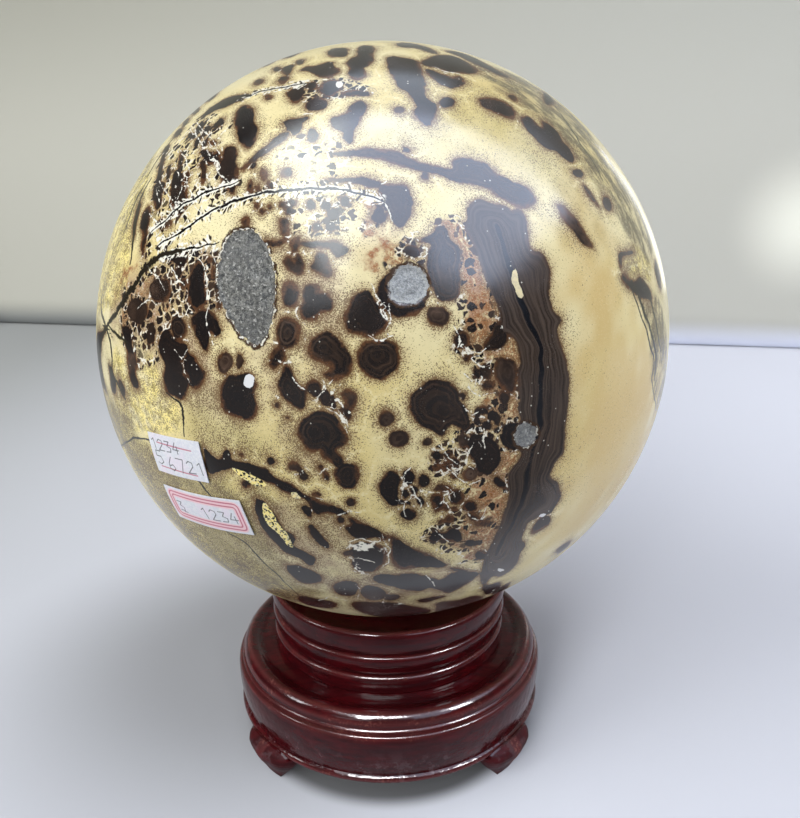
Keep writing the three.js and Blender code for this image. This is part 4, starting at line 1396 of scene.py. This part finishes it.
# The coarse quartz patches, sunk a little below the polish
DRUSE_DEPTH = 0.45
DRUSE_PATCHES = [  # degrees to the right and up, how blue it is, and its outline in millimetres
    (-20.7, 16.9, 0.0, [
        -3, 14, 1, 13, 4.6, 9, 7.2, 2, 6.9, -8, 4, -13.2, 0, -11.2, -4.6, -6, -7.6, -.6, -8.3, 6, -6.4, 12.4,
    ]),
    (3.4, 17.5, 0.9, [0, 4.5, 3, 3.3, 4.5, .2, 3.3, -3.1, 0, -4.3, -3.2, -3.6, -4.3, -.8, -3, 3]),
    (20.9, -4.8, 0.35, [0, 3, 2.3, 1.8, 3.4, -.6, 2.4, -2.8, .2, -3.5, -2.2, -2.4, -3.1, -.2, -2.1, 2.1]),
]
druse = np.full(len(skin), -REACH)
bluish = np.zeros(len(skin))
for azimuth, elevation, blue, outline in DRUSE_PATCHES:
    centre = place_direction([azimuth, elevation])[0]
    pair = flat_frame(centre)
    line = curve(np.array(outline, float).reshape(-1, 2), True)
    near = np.flatnonzero(skin @ centre > math.cos(0.35))
    depth = depth_inside(flattened(skin[near], centre, pair), line)
    druse[near] = np.maximum(druse[near], depth)
    bluish[near[depth > -1]] = blue
keep_values(stone.data, "druse", np.stack([druse, bluish, np.zeros(len(skin))], 1))

rough = 0.12 * waves(skin_mm, 1.6, 51) + 0.1 * waves(skin_mm, 3.1, 53)
sink = np.clip(druse / 0.5, 0, 1) * (DRUSE_DEPTH + rough)
shaped = skin * (STONE_RADIUS - sink)[:, None]
shaped[:, 2] += STONE_CENTRE
stone.location = (0, 0, 0)
stone.data.vertices.foreach_set("co", (shaped * MM).ravel())
stone.data.update()
stone.data.shade_smooth()

CREAM = (0.72, 0.60, 0.27, 1)
PALE_CREAM = (0.78, 0.70, 0.42, 1)
TAN = (0.63, 0.47, 0.20, 1)
GOLD = (0.93, 0.79, 0.30, 1)
DUSTY = (0.36, 0.30, 0.12, 1)
DUSKY = (0.40, 0.29, 0.19, 1)
RUST = (0.28, 0.098, 0.028, 1)
DEEP_RUST = (0.12, 0.045, 0.018, 1)
PINKISH = (0.37, 0.18, 0.085, 1)
GRAIN = (0.11, 0.070, 0.040, 1)
HALO = (0.36, 0.25, 0.13, 1)
MOSSY = (0.22, 0.170, 0.050, 1)
HALO_DARK = (0.155, 0.085, 0.038, 1)
NEAR_BLACK = (0.009, 0.008, 0.0085, 1)
DARK_UMBER = (0.030, 0.019, 0.014, 1)
RING_BROWN = (0.095, 0.058, 0.040, 1)
BAND_BROWN = (0.075, 0.054, 0.042, 1)
RIM_BROWN = (0.120, 0.052, 0.022, 1)
OLIVE_DARK = (0.105, 0.090, 0.050, 1)
OLIVE_DEEP_AND_SHADE = (0.035, 0.026, 0.006, 1)
CRACK_WHITE = (0.80, 0.78, 0.70, 1)
CELL_BROWN = (0.050, 0.029, 0.019, 1)
BAND_DARK = (0.024, 0.017, 0.014, 1)
BAND_CORE = (0.006, 0.0065, 0.009, 1)
VEIN_DARK = (0.020, 0.016, 0.010, 1)
FAN_DARK = (0.030, 0.028, 0.014, 1)
PIECE_WHITE = (0.72, 0.73, 0.76, 1)
QUARTZ_DARK = (0.016, 0.015, 0.013, 1)
QUARTZ_GREY = (0.20, 0.195, 0.172, 1)
QUARTZ_DULL = (0.05, 0.047, 0.042, 1)
QUARTZ_GLINT = (0.42, 0.41, 0.38, 1)
QUARTZ_EDGE = (0.03, 0.026, 0.022, 1)
DISC_DARK = (0.17, 0.185, 0.205, 1)
DISC_PALE = (0.46, 0.48, 0.50, 1)
DISC_RIM_HIGHLIGHT = (0.50, 0.51, 0.50, 1)
DRUSE_HEM = (0.05, 0.026, 0.013, 1)

# The stone's colours and polish, from the distances kept on the mesh, broken up by finer noise
jasper, tree, shader = bare_material("picture_jasper")
place = millimetres(tree)


def kept(name):
    return parts_of(kept_on_mesh(tree, name)["Vector"])


def fine(scale, detail=2.0, roughness=0.5):
    return noise(place, scale, detail, roughness)


def uneven(scale, detail, amount, roughness=0.5):
    """Noise that goes from minus to plus half the amount."""
    return times(less(fine(scale, detail, roughness), 0.5), amount)


def bent(scale, amount):
    """The place, pushed about by noise."""
    push = add_node("ShaderNodeTexNoise", {"Vector": place, "Scale": scale, "Detail": 3.0}).outputs["Color"]
    pushed = add_node("ShaderNodeVectorMath", {0: push, "Scale": amount}, operation="SCALE").outputs[0]
    return add_node("ShaderNodeVectorMath", {0: pushed, 1: place}, operation="ADD").outputs[0]


def scattered(where, scale, randomness=1.0):
    """Cells scattered at random: the distance to a cell's middle, and three random numbers for it."""
    made = add_node("ShaderNodeTexVoronoi", {"Vector": where, "Scale": scale, "Randomness": randomness})
    return made.outputs["Distance"], parts_of(made.outputs["Color"])


def cell_edges(where, scale, randomness):
    """The distance to the nearest edge between such cells."""
    sockets = {"Vector": where, "Scale": scale, "Randomness": randomness}
    return add_node("ShaderNodeTexVoronoi", sockets, feature="DISTANCE_TO_EDGE").outputs["Distance"]


spots, pale, grounds, shades = kept("spots"), kept("pale"), kept("grounds"), kept("shades")
seams, rim, druse_values = kept("seams"), kept("rim"), kept("druse")
depth = add(spots["X"], add(uneven(1.7, 3.0, 0.7), uneven(0.55, 2.0, 0.6)))
outside = at_least(times(depth, -1.0), 0.0)
rust_share = rise(add(grounds["Z"], uneven(0.30, 4.0, 1.6)), 0.35, 0.62)
ring_share = maths("MINIMUM", seams["X"], 1.0)
streak_share = rise(seams["X"], 1.0, 1.8)
quartz_depth = add(druse_values["X"], uneven(0.55, 5.0, 2.4, 0.6))
quartz_mask = rise(quartz_depth, -0.05, 0.12)
crystal_pick = scattered(bent(0.8, 1.2), 2.3)[1]["X"]


def bare_ground():
    """Cream stone with tan, dull olive-brown, golden and rusty areas, mottled olive towards the limb, the
    olive areas deepened partly by painted shade.
    """
    colour = mixed(rise(fine(0.03, 3.0), 0.36, 0.66), PALE_CREAM, CREAM)
    colour = mixed(times(shades["Y"], rise(fine(0.05, 3.0), 0.3, 0.7, 0.7, 1.0)), colour, TAN)
    colour = mixed(times(shades["X"], rise(fine(0.12, 4.0), 0.3, 0.6, 0.55, 1.0)), colour, DUSTY)
    colour = mixed(times(shades["Z"], rise(fine(0.16, 4.0), 0.34, 0.66, 0.1, 0.95)), colour, DUSKY)
    colour = mixed(times(grounds["X"], rise(fine(0.35, 3.0), 0.3, 0.62)), colour, GOLD)
    moss = rise(fine(0.50, 6.0, 0.78), 0.46, 0.60, 0.0, 0.80)
    colour = mixed(times(moss, at_least(grounds["X"], times(shades["X"], 0.7))), colour, MOSSY)
    colour = mixed(times(grounds["Z"], 0.55), colour, PINKISH)
    rusty = mixed(rise(fine(0.9, 4.0, 0.7), 0.40, 0.62), RUST, PINKISH)
    rusty = mixed(rise(fine(2.4), 0.42, 0.30), rusty, DEEP_RUST)
    colour = mixed(rust_share, colour, rusty)
    # Deeper olive over the olive areas: partly the stone's own colour, partly painted shade on the lower
    # left and the top right.
    colour = mixed(times(shades["X"], 0.12), colour, OLIVE_DEEP_AND_SHADE)
    streak = noise(joined(times(rim["X"], 0.30), times(rim["Y"], 0.075), 0.0), 1.0, 5.0, 0.7)
    rim_streak = times(rim["Z"], rise(streak, 0.38, 0.56, 0.15, 1.0))
    return mixed(times(rim_streak, 0.90), colour, OLIVE_DARK)


def with_grains(colour):
    """A brown haze and sand-like grains round the dark spots, and pale lines midway between them."""
    close = maths("POWER", 0.55, outside)
    colour = mixed(times(close, rise(fine(0.5, 3.0), 0.3, 0.7, 0.30, 0.80)), colour, HALO)
    middle_line = rise(add(seams["Y"], uneven(0.9, 3.0, 1.6)), 0.95, 0.15)
    middle_line = times(middle_line, times(rise(outside, 0.5, 1.2), rise(outside, 5.0, 3.0)))
    middle_line = times(middle_line, rise(fine(1.6), 0.40, 0.56, 0.15, 1.0))
    middle_line = times(middle_line, less(1.0, times(at_least(shades["X"], shades["Z"]), 0.75)))
    colour = mixed(times(middle_line, 0.85), colour, PALE_CREAM)
    reach = maths("POWER", 0.57, outside)
    density = add(0.266, times(reach, 0.305))
    density = add(density, add(times(shades["X"], 0.23), times(grounds["X"], 0.125)))
    density = add(density, add(times(shades["Z"], 0.06), times(rim["Z"], 0.08)))
    density = add(density, rise(fine(0.09, 3.0), 0.42, 0.66, 0.0, 0.075))
    density = less(density, add(times(shades["Y"], 0.03), times(middle_line, 0.10)))
    grain_mask = rise(less(fine(3.3, 1.0, 0.4), density), 0.035, -0.03)
    colour = mixed(times(grain_mask, 0.84), colour, mixed(reach, GRAIN, HALO_DARK))
    pale_grain = rise(fine(3.0, 1.0), 0.57, 0.66, 0.0, 0.75)
    colour = mixed(times(pale_grain, add(0.35, times(reach, 0.5))), colour, PALE_CREAM)
    hem = maths("POWER", 0.06, outside)
    return mixed(times(hem, rise(fine(1.8), 0.3, 0.6, 0.5, 0.95)), colour, HALO_DARK)


def with_cells(colour):
    """Small dark cells with pale cracks between them."""
    share = times(grounds["Y"], less(1.0, times(rust_share, 0.55)))
    cell_place = bent(0.5, 2.4)
    edge = cell_edges(cell_place, 0.50, 0.95)
    picks = scattered(cell_place, 0.50, 0.95)[1]
    inward = less(edge, add(times(fine(1.1, 3.0), 0.10), times(picks["X"], 0.09)))
    chosen = rise(less(add(times(picks["Y"], 0.80), 0.10), share), 0.02, -0.14)
    fill = mixed(rise(picks["Z"], 0.3, 1.0), NEAR_BLACK, CELL_BROWN)
    brown_rim = times(rise(inward, 0.09, 0.01, 0.0, 0.7), rise(picks["X"], 0.4, 0.8))
    fill = mixed(brown_rim, fill, RIM_BROWN)
    fill = mixed(rise(maths("SINE", times(inward, 42.0)), 0.2, 0.9, 0.0, 0.35), fill, RING_BROWN)
    colour = mixed(times(times(share, rise(edge, 0.20, 0.06)), 0.25), colour, DUSKY)
    colour = mixed(times(rise(inward, -0.01, 0.04), chosen), colour, fill)
    net = times(rise(edge, 0.080, 0.040), rise(share, 0.25, 0.6))
    net = times(net, rise(fine(0.45, 3.0), 0.50, 0.58))
    net_colour = mixed(times(rust_share, 0.8), CRACK_WHITE, PINKISH)
    return mixed(times(net, less(0.95, times(rust_share, 0.35))), colour, net_colour)


def even_fill():
    """Near-black stone, with rings like a tree's where a spot has them."""
    rings = maths("SINE", add(times(spots["Y"], 19.0), times(fine(0.35), 4.0)))
    edge_rings = maths("SINE", add(times(depth, 5.2), times(fine(0.4), 3.5)))
    plain_share = less(ring_share, streak_share)
    lighter = times(rise(rings, -0.5, 1.0, 0.0, 0.55), times(plain_share, less(1.05, spots["Y"])))
    lighter = times(lighter, rise(spots["Y"], 0.22, 0.45))
    near_edge = times(rise(depth, 4.5, 0.8), add(0.35, ring_share))
    lighter = add(lighter, times(rise(edge_rings, -0.3, 1.0, 0.0, 0.26), near_edge))
    shade = times(spots["Z"], rise(fine(0.28, 3.0), 0.3, 0.7, 0.5, 1.1))
    shade = add(shade, times(lighter, less(1.0, streak_share)))
    ramp = add_node("ShaderNodeValToRGB", {"Fac": shade})
    stops = ramp.color_ramp.elements
    stops[0].position, stops[0].color = 0.0, NEAR_BLACK
    stops[1].position, stops[1].color = 1.0, RING_BROWN
    stops.new(0.45).color = DARK_UMBER
    return ramp.outputs["Color"]


def band_fill():
    """The great band's brown streaks along its length, and its black core."""
    parts = parts_of(place)
    band_place = joined(times(spots["Y"], 13.0), times(parts["Z"], 0.045), times(parts["X"], 0.03))
    fill = mixed(rise(noise(band_place, 1.0, 5.0, 0.6), 0.36, 0.66), BAND_DARK, BAND_BROWN)
    fill = mixed(rise(fine(2.2, 3.0), 0.5, 0.75, 0.0, 0.3), fill, RING_BROWN)
    return mixed(rise(add(spots["Y"], uneven(0.2, 3.0, 0.10)), 0.14, 0.07), fill, BAND_CORE)


def with_spots(colour):
    """The dark spots, each with a brown rim and a few white specks."""
    fill = mixed(streak_share, even_fill(), band_fill())
    rim_width = rise(add(times(fine(0.25), 0.6), times(fine(0.05), 0.5)), 0.40, 0.80, 0.0, 1.5)
    rim_share = times(rise(less(depth, rim_width), 0.20, -0.75), rise(fine(2.4), 0.34, 0.60, 0.45, 1.0))
    fill = mixed(times(rim_share, less(0.95, times(streak_share, 0.6))), fill, RIM_BROWN)
    speck_distance, speck_picks = scattered(place, 0.75)
    speck = times(rise(speck_distance, 0.17, 0.10), rise(speck_picks["X"], 0.88, 0.91))
    fill = mixed(times(speck, 0.7), fill, CRACK_WHITE)
    fill = mixed(rise(fine(2.6), 0.58, 0.75, 0.0, 0.25), fill, RING_BROWN)
    return mixed(rise(depth, -0.10, 0.12), colour, fill)


def white_lines():
    """White seams where two spots come close, and the healed cracks."""
    seam = rise(add(seams["Y"], uneven(1.3, 3.0, 1.6)), 0.42, 0.20)
    seam = times(times(seam, rise(spots["X"], -1.3, -0.8)), rise(fine(0.4, 3.0), 0.49, 0.56))
    cracks = kept("crack_lines")
    half_width = add(0.7, uneven(0.9, 4.0, 7.0, 0.7))
    crack = less(maths("ABSOLUTE", add(cracks["X"], uneven(0.7, 3.0, 5.0))), half_width)
    crack = times(rise(crack, 0.4, -0.4), rise(cracks["Y"], 1.3, 0.9))
    return at_least(seam, times(crack, rise(fine(0.7), 0.40, 0.47)))


def line_mask(values, far):
    half_width = add(0.80, uneven(1.2, 2.0, 1.6))
    across = less(maths("ABSOLUTE", values["X"]), half_width)
    return times(rise(across, 0.25, -0.25), rise(values["Y"], far, far - 0.4))


def with_dark_lines(colour):
    """The ribs with their barbs and pale borders, the veins, and the fans of fine veins."""
    ribs = kept("rib_lines")
    side = rise(ribs["X"], -0.2, 0.2, 0, 7)
    barb_place = joined(add(ribs["Z"], times(ribs["Y"], 0.5)), times(ribs["Y"], 0.36), side)
    barb = cell_edges(barb_place, 0.85, 0.8)
    barb_area = rise(less(ribs["Y"], add(1.7, uneven(0.3, 2.0, 5.5))), 0.3, -0.3)
    slot = times(rise(barb, 0.12, 0.18), rise(fine(0.45, 1.0), 0.36, 0.44))
    colour = mixed(times(slot, barb_area), colour, DARK_UMBER)
    wall = times(rise(barb, 0.12, 0.06), rise(fine(0.8), 0.44, 0.52))
    colour = mixed(times(wall, barb_area), colour, CRACK_WHITE)
    border = times(rise(ribs["Y"], 0.85, 0.6), rise(fine(1.1, 3.0), 0.44, 0.50))
    colour = mixed(border, colour, CRACK_WHITE)
    colour = mixed(line_mask(ribs, 1.6), colour, NEAR_BLACK)
    colour = mixed(line_mask(kept("vein_lines"), 2.6), colour, VEIN_DARK)
    return mixed(line_mask(kept("star_lines"), 2.2), colour, FAN_DARK)


def with_pale_pieces(colour):
    """Cream, gilded or white pieces inside the dark spots."""
    gilded = mixed(rise(fine(1.3), 0.50, 0.56), GOLD, NEAR_BLACK)
    gilded = mixed(rise(fine(1.9, 1.0), 0.55, 0.62), gilded, PALE_CREAM)
    piece = mixed(pale["Y"], mixed(pale["Z"], CREAM, PIECE_WHITE), gilded)
    return mixed(rise(add(pale["X"], uneven(1.2, 2.0, 0.6)), -0.05, 0.08), colour, piece)


def quartz_line(inward, far, close, top=1.0):
    """A line that runs round the coarse quartz, so many millimetres inside its edge."""
    return rise(maths("ABSOLUTE", less(quartz_depth, inward)), far, close, 0.0, top)


def with_quartz(colour):
    """Coarse grey quartz with painted glints, and paler fibrous discs, with dark lines round them and
    painted highlights along their sunk edges.
    """
    quartz = mixed(rise(fine(1.2, 6.0, 0.85), 0.41, 0.60), QUARTZ_DARK, QUARTZ_GREY)
    quartz = mixed(rise(fine(0.10), 0.42, 0.60, 0.0, 0.45), quartz, QUARTZ_DULL)
    # Painted glints on the quartz crystals.
    quartz = mixed(rise(crystal_pick, 0.88, 0.99, 0.0, 0.7), quartz, QUARTZ_GLINT)
    quartz = mixed(rise(quartz_depth, 0.45, 0.1, 0.0, 0.6), quartz, QUARTZ_EDGE)
    disc = mixed(rise(fine(1.9, 5.0, 0.8), 0.38, 0.62), DISC_DARK, DISC_PALE)
    # A pale ring inside each disc's edge: a painted highlight on the step where it is sunk.
    disc = mixed(quartz_line(0.45, 0.35, 0.1, 0.5), disc, DISC_RIM_HIGHLIGHT)
    quartz = mixed(times(druse_values["Y"], 0.85), quartz, disc)
    colour = mixed(quartz_mask, colour, quartz)
    hem = times(quartz_line(-0.3, 0.8, 0.3), rise(fine(0.4), 0.40, 0.50))
    colour = mixed(times(hem, less(1.0, quartz_mask)), colour, DRUSE_HEM)
    # Pale dashes just outside the quartz: a painted highlight on the edge of the sunk patches.
    edge_highlight = times(quartz_line(-0.15, 0.24, 0.08), rise(fine(0.8), 0.50, 0.56))
    return mixed(times(edge_highlight, less(0.9, times(druse_values["Y"], 0.7))), colour, CRACK_WHITE)


white = white_lines()
colour = mixed(white, with_spots(with_cells(with_grains(bare_ground()))), CRACK_WHITE)
colour = with_quartz(with_pale_pieces(with_dark_lines(colour)))
tree.links.new(colour, shader.inputs["Base Color"])
polish = add(rise(fine(0.1, 3.0), 0.3, 0.7, 0.16, 0.24), times(rise(fine(4.0), 0.5, 0.7), 0.05))
tree.links.new(add(polish, times(quartz_mask, 0.5)), shader.inputs["Roughness"])
grit = times(quartz_mask, add(crystal_pick, times(fine(2.5), 0.8)))
bumped(shader, add(times(white, -0.3), add(grit, times(fine(2.4, 1.0), 0.03))), 0.6, 0.0004)
shader.inputs["IOR"].default_value = 1.54

stone.data.materials.append(jasper)
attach(stone, "root")
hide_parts("stone_sphere")


# The two stickers
# Thin white paper, cut by hand and stuck on the stone, printed with red rules and marked with a black
# pen. The upper one has two plain rules and the lower one a doubled rounded frame.
PAPER_THICKNESS = 0.2
PAPER_GRID = 0.2
PEN_WIDTH = 0.28
RULE_WIDTH = 0.36
FRAME_LINE_WIDTH = 0.44
DIGITS = {  # the lines of each figure, one high
    "1": [[0.2, 0.8, 0.5, 1, 0.5, 0]],
    "2": [[0.05, 0.8, 0.3, 1, 0.65, 0.9, 0.65, 0.6, 0, 0, 0.75, 0.02]],
    "3": [[0.05, 0.95, 0.65, 0.95, 0.3, 0.55, 0.7, 0.4, 0.6, 0.05, 0.05, 0.02]],
    "4": [[0.45, 1, 0.02, 0.35, 0.75, 0.35], [0.55, 0.7, 0.5, 0]],
    "5": [[0.65, 1, 0.15, 1, 0.1, 0.6, 0.55, 0.6, 0.65, 0.2, 0.3, 0, 0.02, 0.1]],
    "6": [[0.5, 1, 0.12, 0.5, 0.1, 0.15, 0.4, 0, 0.65, 0.2, 0.5, 0.45, 0.15, 0.35]],
    "7": [[0.02, 1, 0.7, 1, 0.3, 0]],
    "-": [[0.1, 0.45, 0.6, 0.45]],
}


def pen_strokes(text, left, low, size, lean):
    """The pen's lines for a row of numbers, from its lower left corner, in millimetres."""
    strokes = []
    for place, character in enumerate(text):
        for flat in DIGITS.get(character, []):
            points = np.array(flat).reshape(-1, 2) * size
            points[:, 0] += left + place * size * 0.95 + points[:, 1] * lean
            points[:, 1] += low
            strokes.append(points)
    return strokes


def rounded_frame(half_width, half_height, radius):
    turns = np.radians([0, 30, 60, 90])
    corners = []
    for quarter, (sx, sy) in enumerate(((1, 1), (-1, 1), (-1, -1), (1, -1))):
        for turn in turns + quarter * math.pi / 2:
            corners.append((
                sx * (half_width - radius) + radius * math.cos(turn),
                sy * (half_height - radius) + radius * math.sin(turn),
            ))
    return np.array(corners)


PAPER_COOL = (0.62, 0.64, 0.72, 1)
PAPER_WHITE = (0.75, 0.76, 0.80, 1)
PAPER_STAIN = (0.80, 0.68, 0.80, 1)
FRAME_PINK = (0.84, 0.52, 0.56, 1)
PRINT_RED = (0.46, 0.09, 0.16, 1)
PEN_BLACK = (0.05, 0.055, 0.065, 1)


def printed_paper():
    """Satin paper with faint fibres, red print, a pink tint round the frame, and black pen."""
    material, tree, shader = bare_material("printed_paper")
    place = millimetres(tree)
    pen_depth, red_depth, tint = parts_of(kept_on_mesh(tree, "print")["Vector"])
    fibres = noise(place, 1.6, 4.0, 0.65)
    colour = mixed(rise(fibres, 0.35, 0.7), PAPER_COOL, PAPER_WHITE)
    colour = mixed(rise(noise(place, 0.22, 3.0), 0.48, 0.7, 0.0, 0.5), colour, PAPER_STAIN)
    colour = mixed(times(tint, rise(red_depth, 0.75, 0.25, 0.0, 0.75)), colour, FRAME_PINK)
    smudge = less(times(noise(place, 2.4), 0.12), 0.06)
    colour = mixed(rise(add(red_depth, smudge), 0.07, -0.05, 0.0, 0.85), colour, PRINT_RED)
    colour = mixed(rise(add(pen_depth, smudge), 0.08, -0.06, 0.0, 0.88), colour, PEN_BLACK)
    tree.links.new(colour, shader.inputs["Base Color"])
    tree.links.new(rise(fibres, 0.3, 0.7, 0.5, 0.7), shader.inputs["Roughness"])
    bumped(shader, fibres, 0.25, 0.0001)
    return material


paper = printed_paper()


def sticker(name, node_name, azimuth, elevation, width, height, slant, tint, strokes, rules):
    """A sheet bent onto the stone, with the distances to its pen strokes and printed rules."""
    bpy.ops.object.select_all(action="DESELECT")
    bpy.ops.mesh.primitive_grid_add(
        x_subdivisions=round(width / PAPER_GRID), y_subdivisions=round(height / PAPER_GRID), size=1
    )
    sheet = bpy.context.object
    sheet.name = name
    flat = places(sheet.data)[:, :2] * (width, height)
    corner_pull = 1 - 0.012 * np.abs(flat[:, 1] / height) * np.abs(flat[:, 0] / width) * 4
    pen = np.min([distance_to_line(flat, stroke, False) for stroke in strokes], axis=0) - PEN_WIDTH / 2
    red = np.min([distance_to_line(flat, rule, closed) - wide / 2 for rule, closed, wide in rules], axis=0)
    keep_values(sheet.data, "print", np.stack([pen, red, np.full(len(flat), tint)], 1))
    lean = math.radians(slant)
    turn = np.array([[math.cos(lean), math.sin(lean)], [-math.sin(lean), math.cos(lean)]])
    flat = (flat * corner_pull[:, None]) @ turn
    a = math.radians(azimuth)
    out = place_direction([azimuth, elevation])[0]
    side = np.array([math.cos(a), math.sin(a), 0])
    up = np.cross(out, side)
    length = np.hypot(*flat.T)
    bend = length / STONE_RADIUS
    spread = np.sin(bend) / np.maximum(length, 1e-9)
    outward = unit(out * np.cos(bend)[:, None] + (flat[:, :1] * side + flat[:, 1:] * up) * spread[:, None])
    lift = 0.12 * np.clip((np.abs(flat[:, 0]) / width * 2) ** 8, 0, 1)
    radius = STONE_RADIUS + GAP - 0.05 + lift
    at = outward * radius[:, None]
    at[:, 2] += STONE_CENTRE
    sheet.data.vertices.foreach_set("co", (at * MM).ravel())
    sheet.data.update()
    only_selected(sheet)
    thick = sheet.modifiers.new("thickness", "SOLIDIFY")
    thick.thickness = PAPER_THICKNESS * MM
    thick.offset = 1.0
    bpy.ops.object.modifier_apply(modifier=thick.name)
    smooth_within(sheet, 50)
    sheet.data.materials.append(paper)
    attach(sheet, "root")
    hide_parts(node_name)
    return sheet


sticker(
    "upper_sticker", "upper_label", -35.6, -10.1, 20.2, 11.7, 2, 0,
    pen_strokes("1234", -9.4, 1.2, 3.2, -0.1) + pen_strokes("5", -8.6, -3.2, 4.0, -0.1)
    + pen_strokes("67", -4.0, -4.3, 4.1, -0.1) + pen_strokes("21", 3.7, -3.8, 3.5, -0.1),
    [
        (np.array([(-6.8, 3.4), (0, 3.2), (6.6, 2.9)]), False, RULE_WIDTH),
        (np.array([(-7.6, -3.8), (0, -4.0), (6.6, -4.3)]), False, RULE_WIDTH),
    ],
)
sticker(
    "lower_sticker", "lower_label", -32.9, -19.9, 28.9, 11.7, 3, 1,
    pen_strokes("3", -11.0, -2.0, 3.4, -0.1) + pen_strokes("-", -9.8, -3.6, 3.0, 0)
    + pen_strokes("1234", -1.4, -2.3, 3.6, -0.15),
    [
        (rounded_frame(13.1, 4.5, 1.4), True, FRAME_LINE_WIDTH),
        (rounded_frame(12.0, 3.4, 0.9), True, FRAME_LINE_WIDTH),
    ],
)
